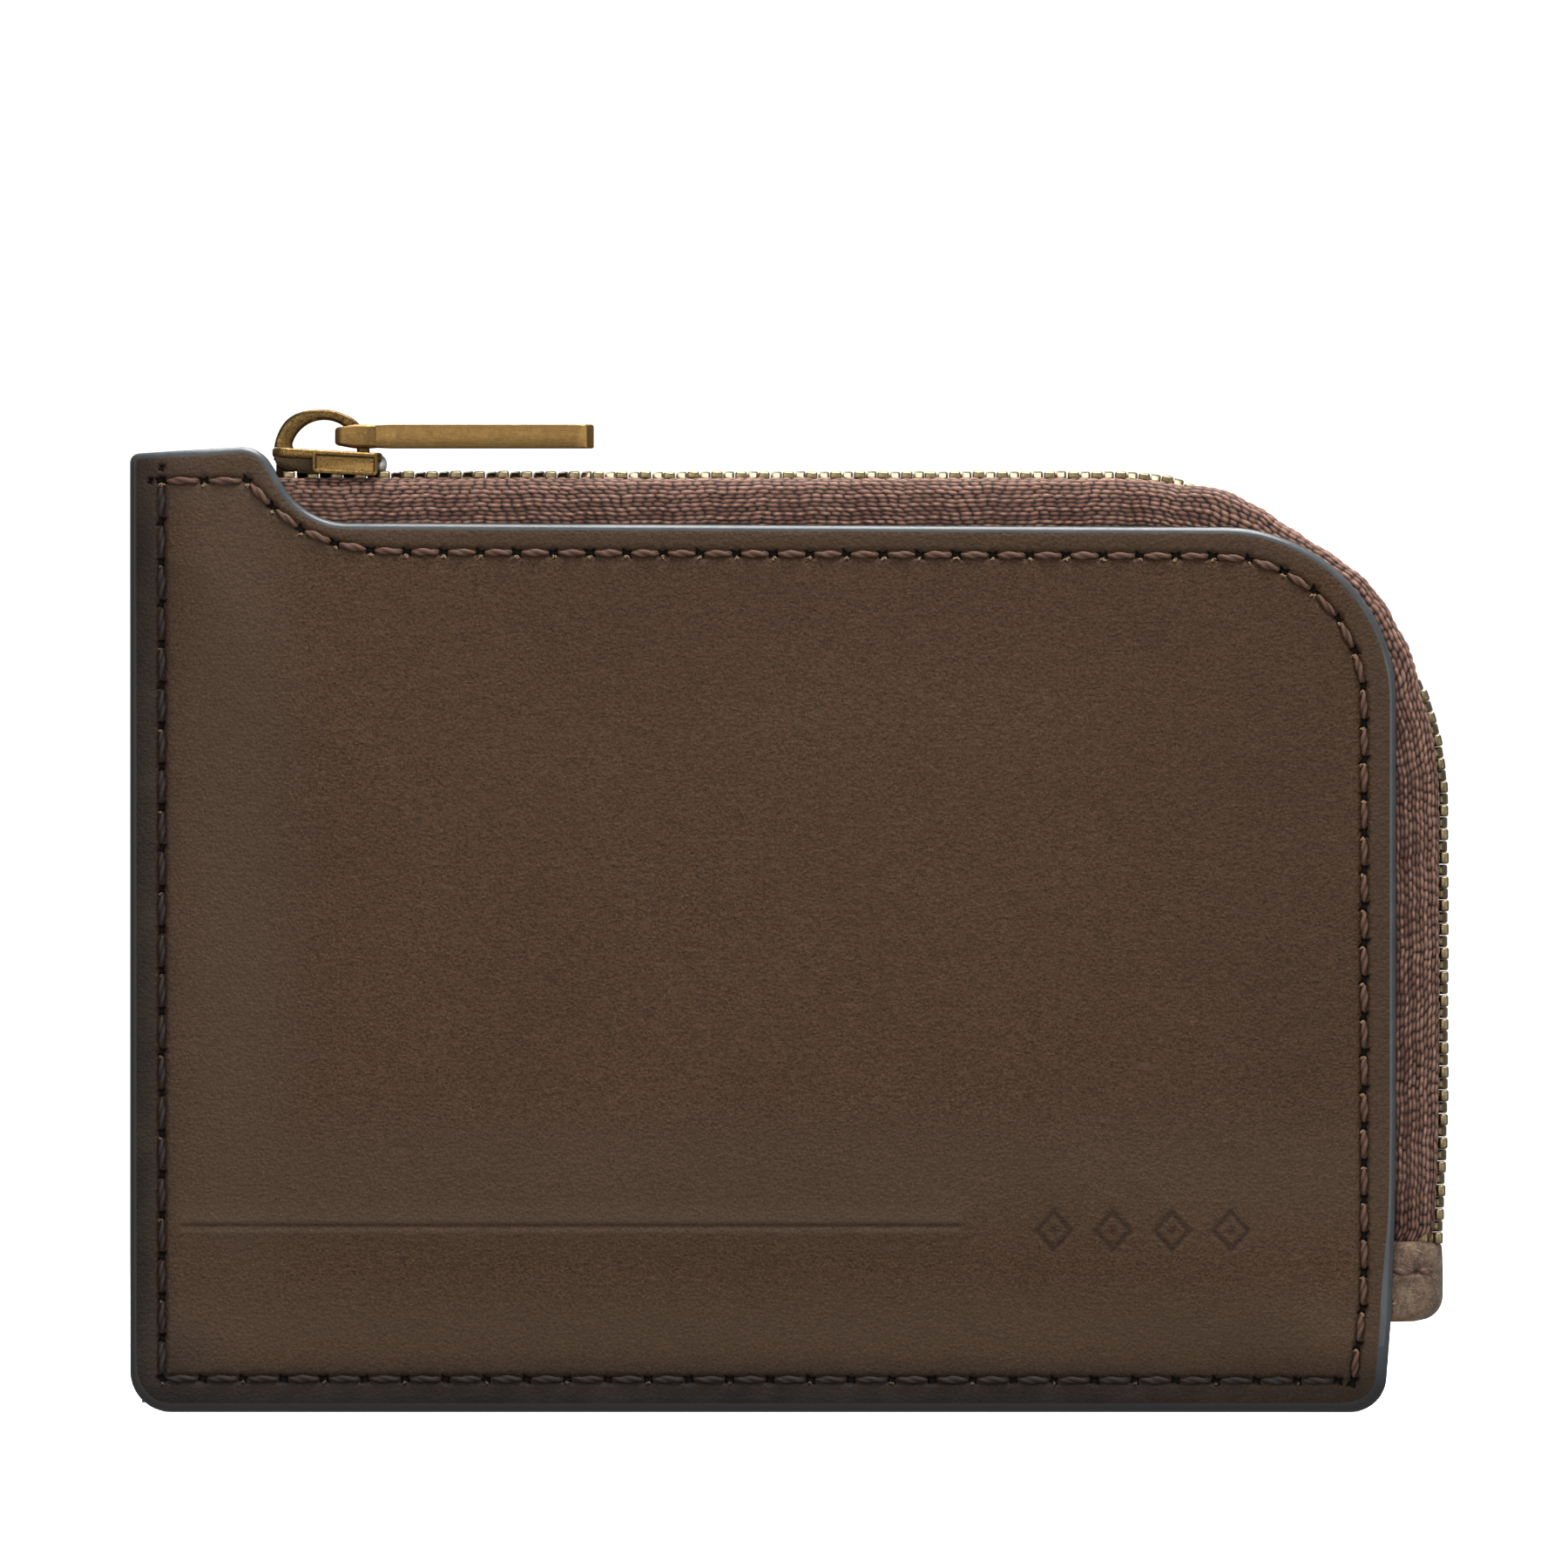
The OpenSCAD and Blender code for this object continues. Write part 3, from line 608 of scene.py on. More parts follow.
def seam_marks(p, holes, depth, size, seed):
    """How a line of stitches presses the leather at points p: dip, hole and shade, each per point."""
    dip, hole, shade = (np.zeros(len(p)) for _ in range(3))
    rng = np.random.default_rng(seed)
    for a, b in zip(holes[:-1], holes[1:]):
        d = b - a
        length = np.linalg.norm(d)
        d /= length
        near = np.flatnonzero(np.linalg.norm(p - (a + b) / 2, axis=1) < length / 2 + 1.6)
        q = p[near] - a
        t = q @ d
        w = np.abs(q @ np.array([-d[1], d[0]]))
        u = np.clip(t / length, 0, 1)
        beyond = np.maximum(0, np.maximum(-t, t - length))
        lens = 0.12 + 0.20 * np.sin(np.pi * u) ** 0.6
        away = np.hypot(w, beyond)
        trough = np.exp(-((away / (lens + 0.14)) ** 4))
        dip[near] = np.maximum(dip[near], depth * trough)
        lip = np.exp(-(((away - lens - 0.02) / 0.07) ** 2))
        shade[near] = np.maximum(shade[near], 0.50 * lip)
    for c, turn in zip(holes, directions(holes)):
        near = np.flatnonzero(np.linalg.norm(p - c, axis=1) < 1.6)
        q = p[near] - c
        pit = star(q, size * rng.uniform(0.85, 1.1), turn + math.radians(rng.uniform(-16, 16)))
        hole[near] = np.maximum(hole[near], pit)
        round_pit = np.exp(-((np.linalg.norm(q, axis=1) / (0.42 * size)) ** 2))
        well = np.exp(-((np.linalg.norm(q, axis=1) / (0.50 * size)) ** 4))
        dip[near] = np.maximum(dip[near], depth * well + 0.12 * round_pit + 0.22 * pit)
        halo = np.exp(-((np.linalg.norm(q, axis=1) / (0.55 * size)) ** 2))
        shade[near] = np.maximum(shade[near], 0.45 * halo)
    return dip, hole, shade


# ---------------------------------------------------------------- pressed marks on the front
CREASE_Z = 15.9
CREASE_X = (X_LEFT + 3.9, 14.8)
MOTIF_X, MOTIF_Z = (19.9, 39.9), 15.4
MOTIF_HALF = (1.75, 1.95)
MOTIF_COUNT = 4


def crease_marks(p):
    """The pressed line near the bottom: a fine groove with painted shade in and below it, and a painted
    highlight on a low ridge below it and as a soft step above it.
    """
    x, z = p[:, 0], p[:, 1]
    inside = smooth01((x - CREASE_X[0]) / 0.8) * smooth01((CREASE_X[1] - x) / 0.25)
    dz = z - CREASE_Z
    groove = np.exp(-((dz / 0.17) ** 2)) * inside
    step = np.exp(-((np.clip(dz, 0, None) / 1.6) ** 2)) * smooth01(dz / 0.3) * inside
    ridge = np.exp(-(((dz + 0.52) / 0.17) ** 2)) * inside
    below = np.exp(-((np.clip(-dz - 0.6, 0, None) / 3.0) ** 2)) * smooth01((-dz - 0.6) / 0.5) * inside
    # Painted shade in the groove and below it; painted highlight on the ridge and in a soft step above
    dark = np.maximum(0.62 * groove, 0.12 * below)
    return 0.12 * groove - 0.04 * ridge, dark, 0.30 * ridge + 0.30 * step


def motif_marks(p):
    """A row of plain lozenges pressed into the leather."""
    dip, shade = np.zeros(len(p)), np.zeros(len(p))
    gap = (MOTIF_X[1] - MOTIF_X[0]) / MOTIF_COUNT
    for k in range(MOTIF_COUNT):
        cx = MOTIF_X[0] + gap * (k + 0.5)
        d = np.abs(p[:, 0] - cx) / MOTIF_HALF[0] + np.abs(p[:, 1] - MOTIF_Z) / MOTIF_HALF[1]
        band = np.exp(-(((d - 0.82) / 0.16) ** 2))
        core = np.exp(-((d / 0.22) ** 2))
        dip = np.maximum(dip, 0.13 * np.maximum(band, core))
        shade = np.maximum(shade, 0.55 * np.maximum(band, core))
    return dip, shade


# ---------------------------------------------------------------- leather panels
EDGE_ROUND = 0.58
EDGE_STEPS = 11
RING_OFFSETS = [0.64, 0.72, 0.86, 1.05, 1.35, 1.65, 1.90, 2.10, 2.28, 2.43, 2.56, 2.68, 2.80, 2.92,
                3.05, 3.20, 3.38, 3.60, 3.90, 4.30, 4.80, 5.40]
HOLE_ZONE = 0.84


def hex_grid(x0, x1, z0, z1, step, step_z=None):
    step_z = step_z or step * 0.87
    rows = np.arange(z0, z1, step_z)
    out = []
    for k, z in enumerate(rows):
        xs = np.arange(x0 + (k % 2) * step / 2, x1, step)
        out.append(np.stack([xs, np.full(len(xs), z)], 1))
    return np.vstack(out)


def face_points(front):
    """Points for the panel's outer face, dense along the seams and the pressed marks."""
    sets = []
    for d in RING_OFFSETS:
        ring = OUTLINE + NORMALS * d
        sets.append(ring[edge_distance(ring) > d - 0.02])
    inner = hex_grid(X_LEFT, X_LEATHER, 0, RAISED_TOP, 0.85)
    sets.append(inner[edge_distance(inner) > RING_OFFSETS[-1] + 0.35])
    raised = hex_grid(X_LEFT, X_LEFT + 17, LEATHER_TOP - 4, RAISED_TOP, 0.3)
    sets.append(raised[edge_distance(raised) > 0.9])
    spot = hex_grid(-HOLE_ZONE, HOLE_ZONE, -HOLE_ZONE, HOLE_ZONE, 0.10)
    spot = spot[np.linalg.norm(spot, axis=1) < HOLE_ZONE]
    sets += [spot + c for c in np.vstack([ZIP_HOLES, SEWN_HOLES, EXTRA_HOLES])]
    if front:
        sets.append(hex_grid(CREASE_X[0] - 0.5, CREASE_X[1] + 1, CREASE_Z - 1.1, CREASE_Z + 0.7, 0.42, 0.10))
        sets.append(hex_grid(MOTIF_X[0] - 0.3, MOTIF_X[1] + 0.3, MOTIF_Z - 2.4, MOTIF_Z + 2.4, 0.2))
    return np.vstack(sets)


def triangulate(boundary, points):
    """Triangles over a closed boundary and loose points inside it; the boundary's points come first."""
    verts = [Vector(p) for p in boundary] + [Vector(p) for p in points]
    loop = list(range(len(boundary)))
    out, _, faces, origin, _, _ = delaunay_2d_cdt(verts, [], [loop], 1, 1e-4)
    coords = np.array([(v.x, v.y) for v in out])
    first = {i: k for k, ids in enumerate(origin) for i in ids}
    rim = [first[i] for i in loop]
    return coords, faces, rim


def edge_width(p):
    """Width of the painted, rounded edge, which is broader along the bottom and at the lower right."""
    lower_right = 0.42 * smooth01((19 - p[:, 1]) / 11) * smooth01((p[:, 0] - 44) / 5)
    return EDGE_ROUND + np.maximum(lower_right, 0.22 * smooth01((5 - p[:, 1]) / 4))


def panel(name, front, mats):
    """One leather panel: pressed outer face, rounded painted edge and plain inner face."""
    side = -1 if front else 1
    width = edge_width(OUTLINE)[:, None]
    rim_loop = OUTLINE + NORMALS * width
    points = face_points(front)
    points = points[edge_distance(points) > edge_width(points) + 0.06]
    p, tris, rim = triangulate(rim_loop, points)
    x, z = p[:, 0], p[:, 1]
    distance = edge_distance(p)
    seams = [seam_marks(p, ZIP_HOLES, 0.20, 1.0, 1), seam_marks(p, SEWN_HOLES, 0.24, 0.92, 2)]
    seams += [seam_marks(p, EXTRA_HOLES[k:k + 1], 0.1, 0.7, 3) for k in range(2)]
    dip, hole, shade = (np.maximum.reduce([m[k] for m in seams]) for k in range(3))
    glow = np.zeros(len(p))
    if front:
        groove, dark, light = crease_marks(p)
        mark, mark_shade = motif_marks(p)
        dip = dip + groove + mark
        shade = np.maximum.reduce([shade, dark, mark_shade])
        glow = light
    shade = np.maximum(shade, 0.11 * smooth01((x - 22) / 22) * smooth01((z - 18) / 14))
    shade = np.maximum(shade, 0.10 * smooth01((z - 58) / 10) * smooth01((x + 34) / 12))
    uneven = 0.5 + 0.25 * (waves(x, z, 11, 3 if front else 4) + waves(x, z, 34, 5 if front else 6))
    pucker = 0.05 * np.exp(-(((distance - SEAM_INSET) / 1.4) ** 2))
    crown = 0.10 * np.exp(-((distance - edge_width(p)) / 0.30))
    depth = face_depth(x, z) - dip - pucker - crown - 0.09 * np.clip(uneven, 0, 1) * smooth01(distance / 3)
    left, low = x - X_LEFT, z
    # Burnished edges with painted shade: darker along the sewn left and bottom edges and in the lower left
    # corner, less near the top
    blotch = 0.5 + 0.5 * waves(x, z, 7, 9)
    burnish_shade_left = 1 - smooth01((left - 0.8) / (3.4 + 0.9 * blotch))
    burnish_shade_low = 1 - smooth01((low - 1.6) / (3.4 + 0.8 * blotch))
    burnish_shade_low = burnish_shade_low * (1 - 0.38 * smooth01((x - 22) / 22))
    burnish_shade = np.maximum(0.92 * burnish_shade_left, 0.92 * burnish_shade_low)
    burnish_shade = np.maximum(burnish_shade, 0.7 * smooth01(1 - np.hypot(left - 2, low - 2) / 9))
    burnish_shade = burnish_shade * (1 - 0.35 * smooth01((z - 74) / 6))
    # Painted light: lighter over the left third, in bands near the bottom and along the top edge
    painted_light = smooth01(1 - np.abs(left - 9) / 9) * smooth01(z / 20) * 0.8
    painted_light = np.maximum(painted_light, 0.85 * smooth01(1 - np.abs(z - 7) / 6))
    painted_light = np.maximum(painted_light, 0.62 * smooth01(1 - np.abs(z - 20) / 9))
    painted_light = np.maximum(painted_light, 0.9 * smooth01((z - 75) / 2.5))
    ruddy = np.exp(-(np.hypot((x - 8) / 15, (z - 63) / 9) ** 2)) * (1.0 if front else 0.0)

    n, m = len(p), len(OUTLINE)
    verts = [np.stack([x, side * depth, z], 1)]
    rings, index = [np.array(rim)], n
    rim_depth = depth[rim]
    half = LEATHER_T / 2
    for k in range(1, EDGE_STEPS):
        a = math.pi * k / EDGE_STEPS
        loop = OUTLINE + NORMALS * (width * (1 - math.sin(a)) + 0.02)
        y = rim_depth - half * (1 - math.cos(a))
        verts.append(np.stack([loop[:, 0], side * y, loop[:, 1]], 1))
        rings.append(np.arange(index, index + m))
        index += m
    back_points = hex_grid(X_LEFT, X_LEATHER, 0, RAISED_TOP, 3.0)
    back_points = back_points[edge_distance(back_points) > 2.0]
    bp, back_tris, back_rim = triangulate(rim_loop, back_points)
    back_y = face_depth(bp[:, 0], bp[:, 1]) - LEATHER_T
    back_y[back_rim] = rim_depth - LEATHER_T
    verts.append(np.stack([bp[:, 0], side * back_y, bp[:, 1]], 1))
    rings.append(np.array(back_rim) + index)

    faces = [tuple(t) if front else tuple(reversed(t)) for t in tris]
    material = [0] * len(faces)
    for a, b in zip(rings[:-1], rings[1:]):
        for i in range(m):
            j = (i + 1) % m
            quad = (a[i], b[i], b[j], a[j])
            faces.append(tuple(int(q) for q in (quad if front else reversed(quad))))
            material.append(1)
    for t in back_tris:
        t = [int(v) + index for v in t]
        faces.append(tuple(reversed(t)) if front else tuple(t))
        material.append(2)
    verts = np.vstack(verts)

    def whole(values, rest=0.0):
        out = np.full(len(verts), rest, float)
        out[:n] = values
        return out

    # The rounded edge and inner side get the same burnished darkening with painted shade, but not along the
    # raised top
    burnish_shade_all = whole(burnish_shade)
    rest_x, rest_z = verts[n:, 0], verts[n:, 2]
    burnish_shade_all[n:] = np.maximum(smooth01(1 - (rest_x - X_LEFT - 2) / 3), smooth01(1 - (rest_z - 1.5) / 3))
    burnish_shade_all[n:] *= smooth01((RAISED_TOP - 0.4 - rest_z) / 1.5)
    # Painted light: the lighter strip outside the seams follows the zip sides only
    zip_side = np.maximum(smooth01((x - X_LEATHER + 5) / 1.5), smooth01((z - LEATHER_TOP + 5) / 1.5))
    rim_value = distance + 6 * (1 - zip_side)
    attributes = {"rim": whole(rim_value), "burnish_and_shade": burnish_shade_all, "hole": whole(hole), "painted_light": whole(painted_light),
                  "ruddy": whole(ruddy), "shade": whole(shade), "glow": whole(glow)}
    return mesh_object(name, verts, faces, mats, material_index=material, attributes=attributes)


# ---------------------------------------------------------------- threads
def strand(base, start, end, curl, r, sides=5, steps=6):
    """A short tapering fibre, in X, depth and Z."""
    verts = []
    start, end, curl = (np.array(v, float) for v in (start, end, curl))
    for i in range(steps + 1):
        u = i / steps
        c = start + (end - start) * u + curl * math.sin(math.pi * u)
        for a in cross_sections(sides):
            rr = r * max(0.15, math.sin(math.pi * (0.25 + 0.7 * u)))
            verts.append((c[0] + rr * math.cos(a), c[1] + rr * math.sin(a) * 0.7, c[2] + rr * math.sin(a)))
    faces = grid_faces(steps + 1, sides, base, wrap_cols=True)
    return verts, faces + end_caps(steps + 1, sides, base, flip=True)


def thread_line(name, holes, front, material, width, height, sink, fuzz):
    """Stitches from hole to hole: each a two-ply twisted thread that dives into its holes."""
    side = -1 if front else 1
    rows, cols = 23, 16
    verts, faces, groove, tuft = [], [], [], []
    theta = cross_sections(cols)
    rng = np.random.default_rng(21)
    for a, b in zip(holes[:-1], holes[1:]):
        d = b - a
        length = np.linalg.norm(d)
        if length < 0.8:
            continue
        d = d / length
        across = np.array([-d[1], d[0]])
        phase = rng.uniform(0, math.pi)
        fat = rng.uniform(0.90, 1.06)
        start, stop = 0.5 - THREAD_SHARE / 2, 0.5 + THREAD_SHARE / 2
        base = len(verts)
        for u in np.linspace(0, 1, rows):
            t = start + (stop - start) * u
            c = a + d * length * t
            swell = max(0.02, math.sin(math.pi * u)) ** 0.34
            lift = -0.36 + (0.36 - sink) * max(0.0, math.sin(math.pi * u)) ** 0.38
            lobes = 1 + 0.19 * np.cos(2 * theta - phase - 2 * math.pi * THREAD_TURNS * u)
            w = width * swell * fat * lobes * np.cos(theta)
            h = height * swell * fat * lobes * np.sin(theta)
            y = float(face_depth(c[0], c[1])) + lift + height * 0.5
            for k in range(cols):
                verts.append((c[0] + across[0] * w[k], side * (y + h[k]), c[1] + across[1] * w[k]))
                # The groove value sets painted shade between the plies
                groove.append(np.clip((1.01 - lobes[k]) / 0.19, 0, 1) * 0.8)
                tuft.append(0.0)
        faces += grid_faces(rows, cols, base, wrap_cols=True, flip=not front) + end_caps(rows, cols, base)
    step = 1 if fuzz == 1 else 2
    for hole, angle in list(zip(holes, directions(holes)))[:-1:step]:
        c = hole + 0.12 * np.array([math.cos(angle), math.sin(angle)]) + TUFT_SHIFT
        y = float(face_depth(c[0], c[1]))
        for _ in range(4):
            reach, turn = rng.uniform(0.20, 0.36) * fuzz, math.radians(rng.uniform(190, 350))
            start = (c[0] + rng.uniform(-0.10, 0.10), side * (y - 0.22), c[1] + rng.uniform(-0.05, 0.05))
            end = (c[0] + reach * math.cos(turn), side * (y - 0.04), c[1] + reach * math.sin(turn))
            curl = (rng.uniform(-0.10, 0.10), side * 0.08, rng.uniform(-0.08, 0.08))
            new_verts, new_faces = strand(len(verts), start, end, curl, rng.uniform(0.05, 0.09))
            verts += new_verts
            faces += new_faces if front else [tuple(reversed(f)) for f in new_faces]
            groove += [0.0] * len(new_verts)
            tuft += [rng.uniform(0.45, 1.0) if fuzz == 1 else 0.25] * len(new_verts)
    return mesh_object(name, verts, faces, [material], attributes={"groove": groove, "tuft": tuft})


# ---------------------------------------------------------------- zip path, tapes and teeth
TOOTH_PITCH, TOOTH_W, TOOTH_H = 2.015, 0.99, 2.0
TOOTH_REACH, TOOTH_CROSS = 2.3, 0.7
MOUTH_SPREAD = 1.35
FIRST_TOOTH_X = slider_low[0] + 3.45
TOP_RUN, ARC_RUN = ARC_X - TAPE_X0, CHAIN_R * math.pi / 2


def zip_place(s):
    """The tops of the teeth (X, Z) and the outward direction, at distance s from the tape's end."""
    s = np.asarray(s, float)
    a = np.clip((s - TOP_RUN) / ARC_RUN, 0, 1) * math.pi / 2
    over = np.maximum(0, s - TOP_RUN - ARC_RUN)
    z = ARC_Z + CHAIN_R * np.cos(a) - over
    lean = END_LEAN * np.clip((LEAN_Z[1] - z) / (LEAN_Z[1] - LEAN_Z[0]), 0, 1) ** 2
    x = np.where(s < TOP_RUN, TAPE_X0 + s, ARC_X + CHAIN_R * np.sin(a)) - np.where(a > 1.57, lean, 0)
    return np.stack([x, z], -1), np.stack([np.sin(a), np.cos(a)], -1)


def run_to_z(z):
    return TOP_RUN + ARC_RUN + ARC_Z - z


def arc_degrees(s):
    return np.degrees((s - TOP_RUN) / CHAIN_R)


def corner_bulge(s):
    """How far the tape stands out over the teeth round the corner, and how much of them it hides."""
    a = arc_degrees(s)
    hide = smooth01((a - 11) / 8) * smooth01((70 - a) / 8)
    crowd = 0.40 * np.exp(-(((a - 50) / 7) ** 2)) - 0.40 * np.exp(-(((a - 33) / 8) ** 2))
    crowd = crowd - 0.22 * smooth01((a - 74) / 12)
    return 0.62 * hide + crowd, hide


ROW_H, PICK_L = 0.37, 0.94


def weave(s, t):
    """The tape's picks, in rows half a pick apart: each point's height and its pick's tint."""
    t = t + 0.05 * np.sin(s * 1.31) + 0.03 * np.sin(s * 2.9 + 1)
    row = np.floor(t / ROW_H)
    v = t / ROW_H - row
    drift = 0.20 * np.sin(row * 2.3) + 0.16 * np.sin(s * 0.83 + row * 1.7) + 0.07 * np.sin(s * 2.1 + row)
    slant = 0.34 * np.sin(s * 0.23 + 0.9) + 0.16 * np.sin(row * 5.1)
    u = s / PICK_L + 0.5 * row + drift + slant * (v - 0.5)
    pick = np.floor(u)
    size = 0.78 + 0.22 * np.sin(pick * 12.9 + row * 4.1)
    tint = 0.5 + 0.5 * np.sin(pick * 7.3 + row * 5.9)
    return np.sin(np.pi * v) ** 0.75 * np.abs(np.sin(np.pi * u)) ** 0.62 * size, tint


def spline(points, step, fine_from, coarse):
    """An even walk along a curve through points, finer after fine_from."""
    p = np.array(points, float)
    dense = []
    for i in range(len(p) - 1):
        p0, p1, p2, p3 = p[max(i - 1, 0)], p[i], p[i + 1], p[min(i + 2, len(p) - 1)]
        for u in np.linspace(0, 1, 24, endpoint=False):
            dense.append(0.5 * (2 * p1 + (p2 - p0) * u + (2 * p0 - 5 * p1 + 4 * p2 - p3) * u ** 2
                                + (3 * p1 - p0 - 3 * p2 + p3) * u ** 3))
    dense.append(p[-1])
    even = resample(np.array(dense), step)
    low, high = even[even[:, 1] < fine_from], even[even[:, 1] >= fine_from]
    keep = max(1, int(round(coarse / step)))
    return np.vstack([low[::keep], high])


def tape(name, front, material):
    """A woven tape, sewn behind the leather and turned in to the teeth."""
    side = -1 if front else 1
    inner_y = HALF_BODY - LEATHER_T
    section = [(-inner_y, -9.0), (-inner_y, -6.5), (-inner_y, -4.9), (-inner_y + 0.10, -3.4), (-3.22, -2.1),
               (-2.98, -1.25), (-2.62, -0.83), (-2.2, -0.72), (-1.65, -0.70)]
    outer = spline(section, 0.085, -5.3, 0.7)
    thick = 0.42
    along = np.gradient(outer, axis=0)
    along /= np.linalg.norm(along, axis=1)[:, None]
    normal = np.stack([-along[:, 1], along[:, 0]], 1)
    t = np.concatenate([[0], np.cumsum(np.linalg.norm(np.diff(outer, axis=0), axis=1))])
    inner = (outer - normal * thick)[::-4]
    total = run_to_z(tab_low[2] + 1.1)
    stations = np.arange(0, total, 0.21)
    place, out_dir = zip_place(stations)
    verts, high, tints_and_light = [], [], []
    # Painted light: the tape is lighter where it turns up to the teeth
    painted_light_near_teeth = 0.75 * smooth01((outer[:, 1] + 3.6) / 2.6)
    visible = smooth01((outer[:, 1] + 5.4) / 0.4)
    low_z = place[:, 1]
    first_meshed = FIRST_TOOTH_X - TAPE_X0
    after_arc = stations > TOP_RUN + ARC_RUN
    draw = np.where(after_arc, mix(0.72, 1, (low_z - tab_high[2]) / 3), 1)
    tuck = np.where(after_arc, mix(0.35, 0, (low_z - tab_high[2]) / 1.2), 0)
    for s, p, o, k, back in zip(stations, place, out_dir, draw, tuck):
        w, tint = weave(s, t)
        stand, hide = corner_bulge(s)
        ruffle = 0.05 * math.sin(s * 1.9) * hide
        bulge = float(stand) * smooth01((outer[:, 1] + 4.0) / 2.8)
        q = outer + normal * (0.19 * w * visible + ruffle)[:, None]
        q = q + np.stack([-0.12 * bulge, bulge], 1)
        opened = MOUTH_SPREAD * float(smooth01((first_meshed - s) / TOOTH_PITCH))
        q[:, 0] -= opened * smooth01((q[:, 1] + 4.4) / 3.2) * np.clip((3.75 + q[:, 0]) / 1.3, 0, 1)
        r = inner + np.stack([0 * inner[:, 0], np.interp(inner[:, 1], outer[:, 1], bulge)], 1)
        r[:, 0] -= opened * smooth01((r[:, 1] + 4.4) / 3.2) * np.clip((3.3 + r[:, 0]) / 1.3, 0, 1)
        ring = np.vstack([q, r])
        n_out = ring[:, 1] - back
        verts.append(np.stack([p[0] + n_out * o[0], -side * ring[:, 0] * k, p[1] + n_out * o[1]], 1))
        high.append(np.concatenate([w, np.full(len(r), 0.5)]))
        # Each pick's tint plus the painted light near the teeth
        tints_and_light.append(np.concatenate([np.maximum(painted_light_near_teeth, 0) + 0.45 * tint, np.zeros(len(r))]))
    cols = len(verts[0])
    faces = grid_faces(len(stations), cols, wrap_cols=True, flip=front)
    faces += end_caps(len(stations), cols, flip=front)
    return mesh_object(name, np.vstack(verts), faces, [material],
                       attributes={"high": np.concatenate(high), "tint": np.concatenate(tints_and_light)})


def tooth_template():
    """One front tooth with its middle at X = 0: two legs round the tape and a meshing head."""
    profile = [(-TOOTH_REACH, -0.06), (-1.6, 0), (-0.8, 0), (0.2, -0.12), (TOOTH_CROSS, -0.5),
               (TOOTH_CROSS, -TOOTH_H + 0.5), (0.2, -TOOTH_H + 0.12), (-0.8, -TOOTH_H),
               (-TOOTH_REACH, -TOOTH_H), (-TOOTH_REACH, -1.27), (-1.6, -1.27), (-1.6, -0.72),
               (-TOOTH_REACH, -0.72)]
    bm = bmesh.new()
    low = [bm.verts.new((-TOOTH_W / 2, y, n)) for y, n in profile]
    high = [bm.verts.new((TOOTH_W / 2, y, n)) for y, n in profile]
    count = len(profile)
    bm.faces.new(low)
    bm.faces.new(tuple(reversed(high)))
    for i in range(count):
        j = (i + 1) % count
        bm.faces.new((low[j], low[i], high[i], high[j]))
    bmesh.ops.recalc_face_normals(bm, faces=bm.faces)
    bevelled(bm, 0.20, 3, 20)
    for v in bm.verts:
        head = smooth01(np.array((v.co.y + 0.5) / 0.9))
        v.co.x *= 1 - 0.16 * float(head)
    bmesh.ops.triangulate(bm, faces=bm.faces)
    bm.verts.ensure_lookup_table()
    verts = np.array([v.co[:] for v in bm.verts])
    faces = [tuple(v.index for v in f.verts) for f in bm.faces]
    bm.free()
    return verts, faces


def teeth(name, front, material):
    """A whole row of teeth along the zip."""
    side = -1 if front else 1
    shift = 0 if front else TOOTH_PITCH / 2
    verts0, faces0 = tooth_template()
    first = FIRST_TOOTH_X - TAPE_X0 + shift
    last = run_to_z(tab_high[2] + 0.2)
    runs = [(s, 0.0) for s in np.arange(first, last, TOOTH_PITCH)]
    runs.append((first - TOOTH_PITCH, MOUTH_SPREAD - 0.35))
    rng = np.random.default_rng(8 if front else 9)
    verts, faces = [], []
    for s, apart in runs:
        p, o = zip_place(s)
        along = np.array([o[1], -o[0]])
        sink = 0.95 * float(corner_bulge(s)[1])
        x = verts0[:, 0] + rng.normal(0, 0.015)
        up = verts0[:, 2] + rng.normal(0, 0.02) - sink
        y = verts0[:, 1] - apart
        base = len(verts0) * len(verts)
        faces += [tuple(base + i for i in (f if front else reversed(f))) for f in faces0]
        q = p + along * x[:, None] + o * up[:, None]
        verts.append(np.stack([q[:, 0], -side * y, q[:, 1]], 1))
    obj = mesh_object(name, np.vstack(verts), faces, [material])
    obj.data.set_sharp_from_angle(angle=math.radians(35))
    return obj


def top_stop(name, front, material):
    """A stop bent round the tape's edge, as a small rounded block with a crimped waist."""
    node_low, node_high = box_mm(name)
    bm = bmesh.new()
    bmesh.ops.create_cube(bm, size=1)
    bmesh.ops.subdivide_edges(bm, edges=bm.edges, cuts=2, use_grid_fill=True)
    size, centre = node_high - node_low, (node_high + node_low) / 2
    for v in bm.verts:
        waist = 1 - 0.12 * (abs(v.co.x) < 0.2)
        v.co = Vector((centre[0] + v.co.x * size[0], centre[1] + v.co.y * size[1] * waist,
                       centre[2] + v.co.z * size[2] * waist))
    bevelled(bm, 0.22, 3)
    return object_from_bmesh("top_stop_" + ("f" if front else "b"), bm, [material])


# ---------------------------------------------------------------- linings, welt and divider
LINING_X, LINING_Z = (X_LEFT + 1, X_LEATHER - 1.2), (0.8, LEATHER_TOP - 1.2)
LINING_DEPTH = HALF_SEWN - LEATHER_T, HALF_BODY - LEATHER_T - 0.5
CARD_X, CARD_Z, CARD_DEPTH = (X_LEFT + 5.2, 45), (5.2, 56), (0.98, 2.56)


